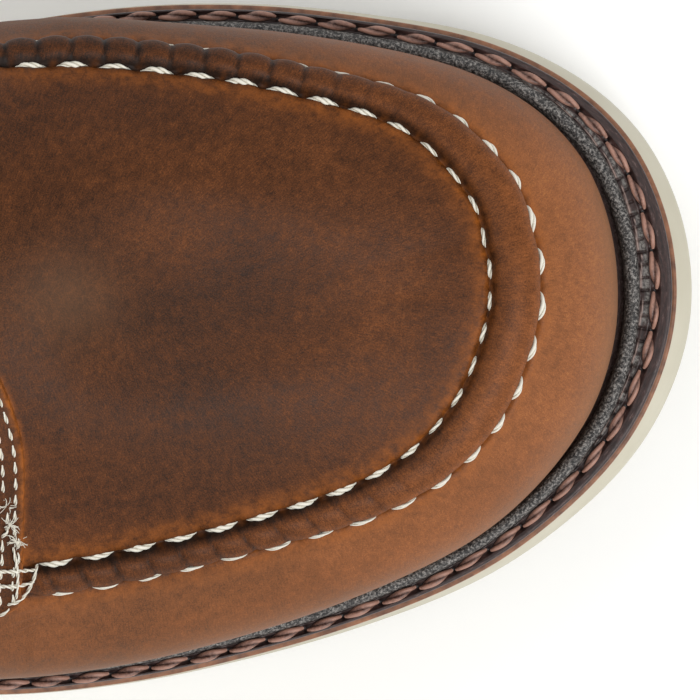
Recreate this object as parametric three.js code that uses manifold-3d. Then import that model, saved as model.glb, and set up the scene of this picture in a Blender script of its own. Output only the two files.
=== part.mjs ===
// Wedge sole work boot with a moccasin toe, for the right foot.
// Millimetres; X runs to the toe, Y to the inner side of the foot, Z up from the floor.
import * as THREE from 'three';
import { mergeVertices } from 'three/addons/utils/BufferGeometryUtils.js';
import Module from 'manifold-3d';

const wasm = await Module();
wasm.setup();

// Driving sizes of the sole
const soleLength = 308;
const ballWidth = 112.6;
const heelHeight = 30;
const ballHeight = 17;
const toeHeight = 14;
const toeSpring = 12;
const heelSpring = 1.5;
const toeLip = 2.7;
const sideLip = 0.4;
const soleGroove = 0.9;
const soleBevel = 2;
const midsoleThickness = 3;

// Driving sizes of the welt
const weltThickness = 3;
const weltEdge = 0.8;
const ribHeight = 2.2;
const ribWidth = 2.5;
const ribChannel = 1.6;
const weltLap = 4;

// Driving sizes of the upper
const instepRise = 59;
const shaftRise = 75;
const wall = 2.4;
const seamHeight = 2.2;
const seamHalfWidth = 3.4;
const quarterStep = 1.6;
const backstayStep = 1.2;

// Driving sizes of the insole, tongue, eyelets and lace
const insoleThickness = 5;
const insoleClearance = 0.4;
const tongueThickness = 3;
const tongueClearance = 1;
const tongueTip = 10;
const eyeletPairs = 7;
const eyeletRadius = 4.4;
const eyeletHole = 2.3;
const eyeletThickness = 1;
const eyeletSeatLift = 1.1;
const eyeletInset = 9;
const laceDiameter = 3.6;
const laceClearance = 1.7;
const laceEdgeShare = 0.17;
const gap = 0.3;

// Sole outline: a row for each section, along from the heel, sides as shares of the ball width.
const outlineTable = [
  { along: 1.0, medial: 0.084, lateral: 0.084 },
  { along: 0.993, medial: 0.205, lateral: -0.03 },
  { along: 0.972, medial: 0.315, lateral: -0.143 },
  { along: 0.94, medial: 0.393, lateral: -0.236 },
  { along: 0.894, medial: 0.451, lateral: -0.325 },
  { along: 0.83, medial: 0.484, lateral: -0.398 },
  { along: 0.768, medial: 0.4995, lateral: -0.447 },
  { along: 0.705, medial: 0.4955, lateral: -0.483 },
  { along: 0.642, medial: 0.4716, lateral: -0.5 },
  { along: 0.55, medial: 0.41, lateral: -0.485 },
  { along: 0.44, medial: 0.352, lateral: -0.421 },
  { along: 0.32, medial: 0.355, lateral: -0.353 },
  { along: 0.2, medial: 0.389, lateral: -0.313 },
  { along: 0.12, medial: 0.391, lateral: -0.302 },
  { along: 0.05, medial: 0.334, lateral: -0.245 },
  { along: 0.012, medial: 0.21, lateral: -0.122 },
  { along: 0.0, medial: 0.0444, lateral: 0.0444 },
];

// How much of the heel's extra height the wedge keeps at each section.
const wedgeTable = [
  { along: 0.0, share: 1.0 },
  { along: 0.14, share: 1.0 },
  { along: 0.3, share: 0.8 },
  { along: 0.45, share: 0.42 },
  { along: 0.58, share: 0.1 },
  { along: 0.66, share: 0.0 },
  { along: 1.0, share: 0.0 },
];
const tread = { springStart: 0.66, heelStart: 0.04 };

// Where the upper leaves the welt: at runs from the toe, 0, to the heel, 1; shares of the ball width.
const featherTable = [
  { at: 0.0, medial: 0.114, lateral: 0.114 },
  { at: 0.12, medial: 0.1, lateral: 0.094 },
  { at: 0.18, medial: 0.085, lateral: 0.08 },
  { at: 0.25, medial: 0.073, lateral: 0.071 },
  { at: 0.35, medial: 0.064, lateral: 0.062 },
  { at: 0.5, medial: 0.061, lateral: 0.06 },
  { at: 1.0, medial: 0.058, lateral: 0.058 },
];

// How far the wall swells out over the welt, and how high, as a share of the instep rise.
const swellTable = [
  { at: 0.0, medial: 0.004, lateral: 0.004, rise: 0.17 },
  { at: 0.12, medial: 0.009, lateral: 0.009, rise: 0.17 },
  { at: 0.18, medial: 0.014, lateral: 0.016, rise: 0.18 },
  { at: 0.25, medial: 0.021, lateral: 0.02, rise: 0.2 },
  { at: 0.35, medial: 0.03, lateral: 0.026, rise: 0.24 },
  { at: 0.41, medial: 0.055, lateral: 0.029, rise: 0.27 },
  { at: 0.5, medial: 0.064, lateral: 0.031, rise: 0.33 },
  { at: 0.6, medial: 0.044, lateral: 0.028, rise: 0.36 },
  { at: 0.72, medial: 0.024, lateral: 0.024, rise: 0.36 },
  { at: 1.0, medial: 0.022, lateral: 0.022, rise: 0.34 },
];

// The moccasin seam at the front and the ankle hollow behind it, set in from the sole outline.
const seamTable = [
  { at: 0.0, medial: 0.252, lateral: 0.252, rise: 0.42 },
  { at: 0.06, medial: 0.246, lateral: 0.247, rise: 0.42 },
  { at: 0.12, medial: 0.233, lateral: 0.231, rise: 0.42 },
  { at: 0.18, medial: 0.193, lateral: 0.194, rise: 0.43 },
  { at: 0.25, medial: 0.134, lateral: 0.175, rise: 0.45 },
  { at: 0.3, medial: 0.113, lateral: 0.176, rise: 0.48 },
  { at: 0.35, medial: 0.087, lateral: 0.175, rise: 0.52 },
  { at: 0.4, medial: 0.056, lateral: 0.17, rise: 0.57 },
  { at: 0.5, medial: 0.07, lateral: 0.16, rise: 0.8 },
  { at: 0.6, medial: 0.05, lateral: 0.115, rise: 1.06 },
  { at: 0.7, medial: 0.05, lateral: 0.062, rise: 1.15 },
  { at: 0.82, medial: 0.09, lateral: 0.088, rise: 1.17 },
  { at: 1.0, medial: 0.133, lateral: 0.133, rise: 1.17 },
];

// The crest over the toes, the throat's edges and the collar; crown shapes the section beside it.
const throat = 0.4;
const crestTable = [
  { at: 0.0, along: 0.776, instep: 0.655, shaft: 0.0, middle: 0.08, crown: 0.42 },
  { at: 0.1, along: 0.766, instep: 0.67, shaft: 0.0, middle: 0.08, crown: 0.5 },
  { at: 0.2, along: 0.74, instep: 0.715, shaft: 0.0, middle: 0.08, crown: 0.64 },
  { at: 0.3, along: 0.698, instep: 0.805, shaft: 0.0, middle: 0.08, crown: 0.72 },
  { at: 0.36, along: 0.66, instep: 0.92, shaft: 0.0, middle: 0.075, crown: 0.73 },
  { at: 0.4, along: 0.617, instep: 1.0, shaft: 0.0, middle: 0.071, crown: 0.7 },
  { at: 0.44, along: 0.572, instep: 1.0, shaft: 0.1, middle: 0.066, crown: 0.66 },
  { at: 0.48, along: 0.52, instep: 1.0, shaft: 0.23, middle: 0.06, crown: 0.6 },
  { at: 0.52, along: 0.468, instep: 1.0, shaft: 0.39, middle: 0.053, crown: 0.55 },
  { at: 0.56, along: 0.425, instep: 1.0, shaft: 0.575, middle: 0.048, crown: 0.52 },
  { at: 0.6, along: 0.393, instep: 1.0, shaft: 0.78, middle: 0.044, crown: 0.5 },
  { at: 0.63, along: 0.374, instep: 1.0, shaft: 0.93, middle: 0.044, crown: 0.5 },
  { at: 0.65, along: 0.362, instep: 1.0, shaft: 0.98, middle: 0.044, crown: 0.5 },
  { at: 0.67, along: 0.34, instep: 1.0, shaft: 0.975, middle: 0.044, crown: 0.5 },
  { at: 0.7, along: 0.305, instep: 1.0, shaft: 0.95, middle: 0.044, crown: 0.5 },
  { at: 0.77, along: 0.218, instep: 1.0, shaft: 0.9, middle: 0.044, crown: 0.5 },
  { at: 0.85, along: 0.133, instep: 1.0, shaft: 0.89, middle: 0.044, crown: 0.5 },
  { at: 0.92, along: 0.071, instep: 1.0, shaft: 0.905, middle: 0.044, crown: 0.5 },
  { at: 0.97, along: 0.046, instep: 1.0, shaft: 0.92, middle: 0.044, crown: 0.5 },
  { at: 1.0, along: 0.041, instep: 1.0, shaft: 0.925, middle: 0.044, crown: 0.5 },
];
const openingTable = [
  { at: 0.4, half: 0.133 },
  { at: 0.44, half: 0.15 },
  { at: 0.56, half: 0.154 },
  { at: 0.6, half: 0.163 },
  { at: 0.63, half: 0.178 },
  { at: 0.65, half: 0.203 },
  { at: 0.67, half: 0.237 },
  { at: 0.7, half: 0.284 },
  { at: 0.77, half: 0.342 },
  { at: 0.85, half: 0.311 },
  { at: 0.92, half: 0.209 },
  { at: 0.97, half: 0.089 },
  { at: 1.0, half: 0.0 },
];

// The edges of the opening start this share of the instep rise below the crest in front of them.
const edgeDrop = 0.07;

// Front edge of the quarters on each side, by height up the wall.
const quarterTable = [
  { up: 0.0, medial: 0.49, lateral: 0.467 },
  { up: 0.1, medial: 0.472, lateral: 0.45 },
  { up: 0.2, medial: 0.452, lateral: 0.429 },
  { up: 0.3, medial: 0.433, lateral: 0.41 },
  { up: 0.4, medial: 0.424, lateral: 0.4013 },
  { up: 0.5, medial: 0.42, lateral: 0.4 },
  { up: 0.6, medial: 0.414, lateral: 0.394 },
  { up: 0.75, medial: 0.404, lateral: 0.385 },
  { up: 0.85, medial: 0.4, lateral: 0.387 },
  { up: 1.0, medial: 0.4, lateral: 0.4 },
];

// Smooth curve through the values at the keys; period repeats it, mirror gives flat ends.
function smooth(keys, values, ends) {
  const last = keys.length - 1;
  const shift = keys[last] - keys[0];
  const period = ends === 'round' ? 2 : 0;
  const key = (i) => {
    if (i < 0) return period ? keys[i + keys.length] - period : 2 * keys[0] - keys[-i];
    if (i > last) return period ? keys[i - keys.length] + period : 2 * keys[last] - keys[2 * last - i];
    return keys[i];
  };
  const value = (i) => {
    if (i < 0) return period ? values[i + values.length] : values[-i];
    if (i > last) return period ? values[i - values.length] : values[2 * last - i];
    return values[i];
  };
  const rate = (i) => (value(i + 1) - value(i)) / (key(i + 1) - key(i));
  const slope = (i) => {
    const before = key(i) - key(i - 1);
    const after = key(i + 1) - key(i);
    return (rate(i - 1) * after + rate(i) * before) / (before + after);
  };
  return (x) => {
    let t = x;
    if (period) t -= period * Math.floor((x - keys[0]) / period);
    else t = Math.min(Math.max(x, keys[0]), keys[0] + shift);
    let i = 0;
    while (i < last && key(i + 1) <= t) i += 1;
    if (!period) i = Math.min(i, last - 1);
    const width = key(i + 1) - key(i);
    const u = (t - key(i)) / width;
    const h00 = (1 + 2 * u) * (1 - u) ** 2;
    const h10 = u * (1 - u) ** 2;
    const h01 = u * u * (3 - 2 * u);
    const h11 = u * u * (u - 1);
    return h00 * value(i) + h10 * width * slope(i) + h01 * value(i + 1) + h11 * width * slope(i + 1);
  };
}

const mix = (a, b, t) => a + (b - a) * t;
const stationOf = (along) => Math.acos(2 * along - 1) / Math.PI;
const column = (table, from, to) => smooth(table.map((row) => row[from]), table.map((row) => row[to]));

// A curve once round the boot: 0 is the toe, 1 the heel, the inner side first and the outer side back.
function around(table, station) {
  const inner = table.map((row) => [station(row), row.medial]);
  const outer = table.slice(1, -1).map((row) => [2 - station(row), row.lateral]).reverse();
  const all = inner.concat(outer);
  return smooth(all.map((pair) => pair[0]), all.map((pair) => pair[1]), 'round');
}

const sideOf = around(outlineTable, (row) => stationOf(row.along));
const featherInset = around(featherTable, (row) => row.at);
const swell = around(swellTable, (row) => row.at);
const swellRise = column(swellTable, 'at', 'rise');
const seamInset = around(seamTable, (row) => row.at);
const seamRise = column(seamTable, 'at', 'rise');
const crest = {};
for (const name of ['along', 'instep', 'shaft', 'middle', 'crown']) {
  crest[name] = column(crestTable, 'at', name);
}
const opening = column(openingTable, 'at', 'half');
const wedge = column(wedgeTable, 'along', 'share');
const quarterEdge = {
  medial: column(quarterTable, 'up', 'medial'),
  lateral: column(quarterTable, 'up', 'lateral'),
};

// Point of the outline at round place a, moved in by inset, as x and y.
function outline(a, inset = 0) {
  const x = (soleLength / 2) * Math.cos(Math.PI * a);
  const y = ballWidth * sideOf(a);
  if (inset === 0) return [x, y];
  const step = 1e-3;
  const dx = (soleLength / 2) * (Math.cos(Math.PI * (a + step)) - Math.cos(Math.PI * (a - step)));
  const dy = ballWidth * (sideOf(a + step) - sideOf(a - step));
  const length = Math.hypot(dx, dy);
  return [x - (inset * dy) / length, y + (inset * dx) / length];
}

const alongOf = (x) => Math.min(Math.max(x / soleLength + 0.5, 0), 1);

// Heights of the layers over the floor at a place along the boot
function floorLift(x) {
  const along = alongOf(x);
  const toe = Math.max(along - tread.springStart, 0) / (1 - tread.springStart);
  const heel = Math.max(tread.heelStart - along, 0) / tread.heelStart;
  return toeSpring * toe * toe + heelSpring * heel * heel;
}
function soleTop(x) {
  const along = alongOf(x);
  const toe = Math.max(along - tread.springStart, 0) / (1 - tread.springStart);
  const front = mix(ballHeight, toeHeight, toe) + toeSpring * toe * toe;
  return front + (heelHeight - ballHeight) * wedge(along);
}
const midsoleBottom = (x) => soleTop(x) + gap;
const midsoleTop = (x) => midsoleBottom(x) + midsoleThickness;
const weltBottom = (x) => midsoleTop(x) + gap;
const weltTop = (x) => weltBottom(x) + weltThickness;
const featherHeight = (x) => weltTop(x) + gap;

// Edge of the midsole: the wedge stands proud of it at the toe.
const lipShare = (a) => Math.max(Math.cos(Math.PI * a), 0) ** 4;
const midsoleInset = (a) => mix(sideLip, toeLip, lipShare(a));

// How steeply the closed crest climbs towards the heel, as height over length
function crestTilt(s) {
  const crestSpot = (at) => {
    const x = (crest.along(at) - 0.5) * soleLength;
    return [x, weltTop(x) + crest.instep(at) * instepRise];
  };
  const [x0, z0] = crestSpot(s);
  const [x1, z1] = crestSpot(s + 0.03);
  return (z1 - z0) / (x1 - x0);
}

// Five guides of the wall at round place a: feather edge, swell, seam or ankle, middle, top.
const guideKeys = [0, 0.2, 0.5, 0.75, 1];
const guideStore = new Map();
function guides(a) {
  const known = guideStore.get(a);
  if (known) return known;
  const s = a > 1 ? 2 - a : a;
  const side = a > 1 ? -1 : 1;
  const inset = featherInset(a) * ballWidth;
  const foot = outline(a, inset);
  const low = featherHeight(foot[0]);
  const out = outline(a, inset - swell(a) * ballWidth);
  const seam = outline(a, seamInset(a) * ballWidth);
  const x = (crest.along(s) - 0.5) * soleLength;
  const half = s > throat ? opening(s) * ballWidth : 0;
  const y = crest.middle(s) * ballWidth + side * half;
  const drop = s > throat ? edgeDrop * (1 - THREE.MathUtils.smoothstep(s, throat, throat + 0.06)) : 0;
  const z = weltTop(x) + (crest.instep(s) - drop) * instepRise + crest.shaft(s) * shaftRise;
  const points = [
    [foot[0], foot[1], low],
    [out[0], out[1], low + swellRise(s) * instepRise],
    [seam[0], seam[1], low + seamRise(s) * instepRise],
    [0, 0, 0],
    [x, y, z],
  ];
  points[3] = [
    mix(points[2][0], x, 0.5),
    mix(points[2][1], y, 0.5),
    mix(points[2][2], z, crest.crown(s)),
  ];
  const open = THREE.MathUtils.smoothstep(s, throat, throat + 0.05);
  const result = { points, open, tilt: s > throat ? 0 : crestTilt(s) };
  guideStore.set(a, result);
  return result;
}

// Point of the bare last at round place a and height share h, as a smooth curve through the guides.
function lastPoint(a, h) {
  const place = a < 0 ? a + 2 : a % 2;
  const { points, open, tilt } = guides(place);
  const count = guideKeys.length;
  let i = 0;
  while (i < count - 2 && guideKeys[i + 1] <= h) i += 1;
  const width = guideKeys[i + 1] - guideKeys[i];
  const u = (h - guideKeys[i]) / width;
  const coordinate = (c) => {
    const rate = (n) => (points[n + 1][c] - points[n][c]) / (guideKeys[n + 1] - guideKeys[n]);
    const slope = (n) => {
      if (n === 0) return 1.5 * rate(0) - 0.5 * slope(1);
      if (n === count - 1) {
        if (c !== 2) return rate(n - 1);
        const run = (points[n][0] - points[n - 1][0]) / (guideKeys[n] - guideKeys[n - 1]);
        return mix(tilt * run, rate(n - 1), open);
      }
      const before = guideKeys[n] - guideKeys[n - 1];
      const after = guideKeys[n + 1] - guideKeys[n];
      return (rate(n - 1) * after + rate(n) * before) / (before + after);
    };
    const h00 = (1 + 2 * u) * (1 - u) ** 2;
    const h10 = u * (1 - u) ** 2;
    const h01 = u * u * (3 - 2 * u);
    const h11 = u * u * (u - 1);
    return (
      h00 * points[i][c] + h10 * width * slope(i) + h01 * points[i + 1][c] + h11 * width * slope(i + 1)
    );
  };
  return new THREE.Vector3(coordinate(0), coordinate(1), coordinate(2));
}

// Outward normal of the last, straight up from the closed crest.
function lastNormal(a, h) {
  const s = a > 1 ? 2 - a : a;
  const step = 1e-3;
  if (h > 1 - step && s <= throat) {
    const ahead = lastPoint(Math.max(s - step, 0), 1);
    const behind = lastPoint(Math.max(s - step, 0) + 2 * step, 1);
    const along = ahead.sub(behind);
    return new THREE.Vector3(-along.z, 0, along.x).normalize();
  }
  const low = Math.max(h - step, 0);
  const high = Math.min(h + step, 1);
  const round = lastPoint(a + step, h).sub(lastPoint(a - step, h));
  const up = lastPoint(a, high).sub(lastPoint(a, low));
  return round.cross(up).normalize();
}
const lastOffset = (a, h, distance) => lastPoint(a, h).addScaledVector(lastNormal(a, h), distance);

// Closed body gathered from shared points and faces
class Body {
  constructor() {
    this.points = [];
    this.faces = [];
    this.places = new Map();
  }
  point(v) {
    const key = [v.x, v.y, v.z].map((n) => Math.round(n * 500)).join(' ');
    if (!this.places.has(key)) {
      this.places.set(key, this.points.length);
      this.points.push(v);
    }
    return this.places.get(key);
  }
  face(a, b, c) {
    if (a !== b && b !== c && c !== a) this.faces.push(a, b, c);
  }
  quad(a, b, c, d) {
    this.face(a, b, c);
    this.face(a, c, d);
  }
  geometry() {
    const result = new THREE.BufferGeometry();
    const flat = new Float32Array(this.points.flatMap((v) => [v.x, v.y, v.z]));
    result.setAttribute('position', new THREE.BufferAttribute(flat, 3));
    result.setIndex(this.faces);
    return result;
  }
}

// Round places of the columns: the quarter and backstay edges each take a close pair.
const edgeStep = 0.0015;
const backstayEdge = 0.945;
function stations() {
  const list = [];
  const toeCount = 14;
  const sideCount = 12;
  for (let i = 0; i < toeCount; i += 1) list.push(((throat - edgeStep) * i) / toeCount);
  list.push(throat - edgeStep);
  const start = throat + edgeStep;
  const end = backstayEdge - edgeStep;
  for (let i = 0; i <= sideCount; i += 1) list.push(mix(start, end, i / sideCount));
  list.push(backstayEdge + edgeStep, 0.97, 1);
  return list;
}
const stationList = stations();
const half = stationList.length - 1;
const throatColumn = stationList.findIndex((b) => b > throat) - 1;
const roundList = stationList.concat(stationList.slice(1, -1).reverse().map((b) => 2 - b));

// The columns lean so that the one at the throat follows the front edge of the quarter.
function lean(round, h) {
  const medial = round <= 1;
  const b = medial ? round : 2 - round;
  const edge = quarterEdge[medial ? 'medial' : 'lateral'](h);
  const s = b < throat ? (b * edge) / throat : mix(edge, 1, (b - throat) / (1 - throat));
  return medial ? s : 2 - s;
}

// Height of the leather over the last: rolled seam in front, quarter and backstay laid over behind.
// The laid pieces are pared away to nothing where they are drawn in under the foot.
const paredUp = 0.1;
function overlay(b, h, seamShare) {
  let lift = 0;
  if (b > throat) lift += quarterStep;
  if (b > backstayEdge) lift += backstayStep;
  lift *= Math.min(h / paredUp, 1);
  if (b < throat) lift += seamHeight * seamShare;
  return lift;
}

const wallRows = [0, 0.1, 0.2, 0.31, 0.41];
const plugRows = [0.6, 0.7, 0.8, 0.9, 1];
const seamRows = [
  { offset: -1, share: 0 },
  { offset: -0.65, share: 0.76 },
  { offset: 0, share: 1 },
  { offset: 0.65, share: 0.76 },
  { offset: 1, share: 0 },
];
function outerRows(round) {
  const a = lean(round, 0.5);
  const below = lastPoint(a, 0.5).distanceTo(lastPoint(a, 0.45)) / 0.05;
  const above = lastPoint(a, 0.55).distanceTo(lastPoint(a, 0.5)) / 0.05;
  const rows = wallRows.map((h) => ({ h, share: 0 }));
  for (const { offset, share } of seamRows) {
    rows.push({ h: 0.5 + (offset * seamHalfWidth) / (offset < 0 ? below : above), share });
  }
  return rows.concat(plugRows.map((h) => ({ h, share: 0 })));
}
const innerRows = wallRows.concat([0.5], plugRows);

function upperGeometry() {
  const body = new Body();
  const outer = [];
  const inner = [];
  const count = roundList.length;
  roundList.forEach((round, j) => {
    const b = round > 1 ? 2 - round : round;
    outer.push(outerRows(round).map(({ h, share }) => {
      const a = lean(round, h);
      return body.point(lastOffset(a, h, overlay(b, h, share)));
    }));
    inner.push(innerRows.map((h) => body.point(lastOffset(lean(round, h), h, -wall))));
    const twin = count - j;
    if (j > half && count - j <= throatColumn) {
      outer[j][outer[j].length - 1] = outer[twin][outer[twin].length - 1];
      inner[j][inner[j].length - 1] = inner[twin][inner[twin].length - 1];
    }
  });
  for (let j = 0; j < count; j += 1) {
    const n = (j + 1) % count;
    for (let k = 0; k + 1 < outer[j].length; k += 1) {
      body.quad(outer[j][k], outer[n][k], outer[n][k + 1], outer[j][k + 1]);
    }
    for (let k = 0; k + 1 < inner[j].length; k += 1) {
      body.quad(inner[j][k], inner[j][k + 1], inner[n][k + 1], inner[n][k]);
    }
    body.quad(outer[j][0], inner[j][0], inner[n][0], outer[n][0]);
    if (j >= throatColumn && j < count - throatColumn) {
      const top = outer[j].length - 1;
      const under = inner[j].length - 1;
      body.quad(outer[j][top], outer[n][top], inner[n][under], inner[j][under]);
    }
  }
  return body.geometry();
}

// A layer of the sole: rims lists, from top to bottom, how far in and how far down each rim lies.
function layerGeometry(top, bottom, rims, across) {
  const body = new Body();
  const spot = (x, y, z) => body.point(new THREE.Vector3(x, y, z));
  const rimPoint = (a, rim) => {
    const [x, y] = outline(a, rim.inset(a));
    return spot(x, y, mix(top(x), bottom(x), rim.down));
  };
  const cap = (rim, height) => stationList.map((s) => {
    const [xa, ya] = outline(2 - s, rim.inset(2 - s));
    const [xb, yb] = outline(s, rim.inset(s));
    const row = [];
    for (let i = 0; i <= across; i += 1) {
      const x = mix(xa, xb, i / across);
      const y = mix(ya, yb, i / across);
      row.push(spot(x, y, height(x)));
    }
    return row;
  });
  const upperCap = cap(rims[0], top);
  const lowerCap = cap(rims[rims.length - 1], bottom);
  for (let j = 0; j < half; j += 1) {
    for (let i = 0; i < across; i += 1) {
      body.quad(upperCap[j][i], upperCap[j][i + 1], upperCap[j + 1][i + 1], upperCap[j + 1][i]);
      body.quad(lowerCap[j][i], lowerCap[j + 1][i], lowerCap[j + 1][i + 1], lowerCap[j][i + 1]);
    }
  }
  const loops = rims.map((rim) => roundList.map((a) => rimPoint(a, rim)));
  for (let r = 0; r + 1 < loops.length; r += 1) {
    for (let j = 0; j < roundList.length; j += 1) {
      const n = (j + 1) % roundList.length;
      body.quad(loops[r + 1][j], loops[r + 1][n], loops[r][n], loops[r][j]);
    }
  }
  return body.geometry();
}

function outsoleGeometry() {
  const rims = [
    { down: 0, inset: midsoleInset },
    { down: 0.3, inset: (a) => midsoleInset(a) * 0.35 },
    { down: 0.6, inset: () => 0 },
    { down: 0.74, inset: () => 0 },
    { down: 0.77, inset: () => soleGroove },
    { down: 0.82, inset: () => soleGroove },
    { down: 0.85, inset: () => 0 },
    { down: 0.93, inset: () => 0 },
    { down: 1, inset: () => soleBevel },
  ];
  return layerGeometry(soleTop, floorLift, rims, 2);
}

function midsoleGeometry() {
  const rims = [{ down: 0, inset: midsoleInset }, { down: 1, inset: midsoleInset }];
  return layerGeometry(midsoleTop, midsoleBottom, rims, 2);
}

// Feather line of the upper and the inner edge of the welt, in from the outline
const featherEdge = (a) => featherInset(a) * ballWidth;
const weltInner = (a) => featherEdge(a) + weltLap;

function insoleGeometry() {
  const bottom = (x) => midsoleTop(x) + gap;
  const top = (x) => bottom(x) + insoleThickness;
  const inset = (a) => weltInner(a) + insoleClearance;
  return layerGeometry(top, bottom, [{ down: 0, inset }, { down: 1, inset }], 2);
}

// Storm welt: a flat strip with a raised rib beside the upper
function weltGeometry() {
  const body = new Body();
  const section = (a) => {
    const edge = midsoleInset(a) + weltEdge;
    const ribInner = featherEdge(a) - ribChannel;
    const ribOuter = Math.max(ribInner - ribWidth, edge + weltEdge);
    const ribMiddle = (ribInner + ribOuter) / 2;
    const quarter = (ribInner - ribOuter) / 4;
    return [
      [edge, 0],
      [edge, weltThickness * 0.85],
      [edge + 0.4, weltThickness],
      [ribOuter, weltThickness],
      [ribOuter + 0.2, weltThickness + ribHeight * 0.6],
      [ribMiddle - quarter, weltThickness + ribHeight],
      [ribMiddle + quarter, weltThickness + ribHeight],
      [ribInner, weltThickness],
      [weltInner(a), weltThickness],
      [weltInner(a), 0],
    ];
  };
  const loops = roundList.map((a) => section(a).map(([inset, up]) => {
    const [x, y] = outline(a, inset);
    return body.point(new THREE.Vector3(x, y, weltBottom(x) + up));
  }));
  for (let j = 0; j < loops.length; j += 1) {
    const n = (j + 1) % loops.length;
    for (let k = 0; k < loops[j].length; k += 1) {
      const m = (k + 1) % loops[j].length;
      body.quad(loops[j][k], loops[n][k], loops[n][m], loops[j][m]);
    }
  }
  return body.geometry();
}

// The tongue lies under both facings and is crowned across the opening between them.
const tongueStart = 0.375;
const tongueEnd = 0.64;
const tongueReach = 0.2;
const tongueCrown = 0.055;
const tongueAcross = [-1, -0.75, -0.5, -0.3, 0, 0.3, 0.5, 0.75, 1];
const edgeShare = 0.5;
function tonguePoint(s, v, depth) {
  const sink = -(wall + tongueClearance + depth);
  const size = Math.abs(v);
  const inner = lastOffset(s, 1 - Math.max(size - edgeShare, 0) / (1 - edgeShare) * tongueReach, sink);
  const outer = lastOffset(2 - s, 1 - Math.max(size - edgeShare, 0) / (1 - edgeShare) * tongueReach, sink);
  if (size >= edgeShare) return v > 0 ? inner : outer;
  const t = v / edgeShare;
  const normal = lastNormal(s, 0.98).add(lastNormal(2 - s, 0.98)).normalize();
  const open = s > throat ? mix(0.6, 1, THREE.MathUtils.smoothstep(s, throat, throat + 0.06)) : 0;
  const rise = tongueCrown * ballWidth * open * (1 - t * t);
  return outer.lerp(inner, (t + 1) / 2).addScaledVector(normal, rise);
}

function tongueGeometry() {
  const body = new Body();
  const first = throat + edgeStep;
  const places = [[tongueStart, 0], [mix(tongueStart, throat, 0.6), 0], [throat - edgeStep, 0]];
  const count = 11;
  for (let i = 0; i <= count; i += 1) places.push([mix(first, tongueEnd, i / count), 0]);
  places.push([tongueEnd, tongueTip * 0.6], [tongueEnd, tongueTip]);
  const below = tonguePoint(tongueEnd - 0.03, 0, 0);
  const upward = tonguePoint(tongueEnd, 0, 0).sub(below).normalize();
  const sheet = (depth) => places.map(([s, reach]) => tongueAcross.map((v) => {
    const tip = reach * (1 - 0.35 * v ** 4);
    const width = reach ? v * (1 - 0.12 * reach / tongueTip) : v;
    return body.point(tonguePoint(s, width, depth).addScaledVector(upward, tip));
  }));
  const top = sheet(0);
  const under = sheet(tongueThickness);
  const last = tongueAcross.length - 1;
  const end = places.length - 1;
  for (let i = 0; i < end; i += 1) {
    for (let k = 0; k < last; k += 1) {
      body.quad(top[i][k], top[i][k + 1], top[i + 1][k + 1], top[i + 1][k]);
      body.quad(under[i][k], under[i + 1][k], under[i + 1][k + 1], under[i][k + 1]);
    }
    body.quad(top[i][0], top[i + 1][0], under[i + 1][0], under[i][0]);
    body.quad(top[i][last], under[i][last], under[i + 1][last], top[i + 1][last]);
  }
  for (let k = 0; k < last; k += 1) {
    body.quad(top[0][k], under[0][k], under[0][k + 1], top[0][k + 1]);
    body.quad(top[end][k], top[end][k + 1], under[end][k + 1], under[end][k]);
  }
  return body.geometry();
}

// Round places of the eyelets, evenly spaced up the edge of the facing
const facingStart = 0.43;
const facingEnd = 0.62;
function eyeletPlaces() {
  const steps = 60;
  const lengths = [0];
  for (let i = 1; i <= steps; i += 1) {
    const here = lastPoint(mix(facingStart, facingEnd, i / steps), 1);
    const before = lastPoint(mix(facingStart, facingEnd, (i - 1) / steps), 1);
    lengths.push(lengths[i - 1] + here.distanceTo(before));
  }
  const list = [];
  for (let n = 0; n < eyeletPairs; n += 1) {
    const wanted = (lengths[steps] * n) / (eyeletPairs - 1);
    let i = 1;
    while (i < steps && lengths[i] < wanted) i += 1;
    const t = (wanted - lengths[i - 1]) / (lengths[i] - lengths[i - 1]);
    list.push(mix(facingStart, facingEnd, (i - 1 + t) / steps));
  }
  return list;
}

// Centre of an eyelet on the facing and the way it points
function eyeletSeat(s, side) {
  const a = side > 0 ? s : 2 - s;
  const unit = lastPoint(a, 0.97).distanceTo(lastPoint(a, 0.93)) / 0.04;
  const h = 1 - eyeletInset / unit;
  const normal = lastNormal(a, h);
  const point = lastPoint(a, h).addScaledVector(normal, quarterStep + eyeletSeatLift);
  return { point, normal, a, h };
}

function eyeletMesh(seat) {
  const rim = eyeletThickness;
  const profile = [
    [eyeletHole, 0],
    [eyeletRadius, 0],
    [eyeletRadius - 0.3, rim * 0.6],
    [(eyeletRadius + eyeletHole) / 2, rim],
    [eyeletHole, rim * 0.6],
    [eyeletHole, 0],
  ];
  const shape = new THREE.LatheGeometry(profile.map(([r, y]) => new THREE.Vector2(r, y)), 10);
  shape.rotateX(Math.PI / 2);
  const mesh = new THREE.Mesh(shape, brass);
  mesh.position.copy(seat.point);
  mesh.quaternion.setFromUnitVectors(new THREE.Vector3(0, 0, 1), seat.normal);
  return mesh;
}

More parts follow.
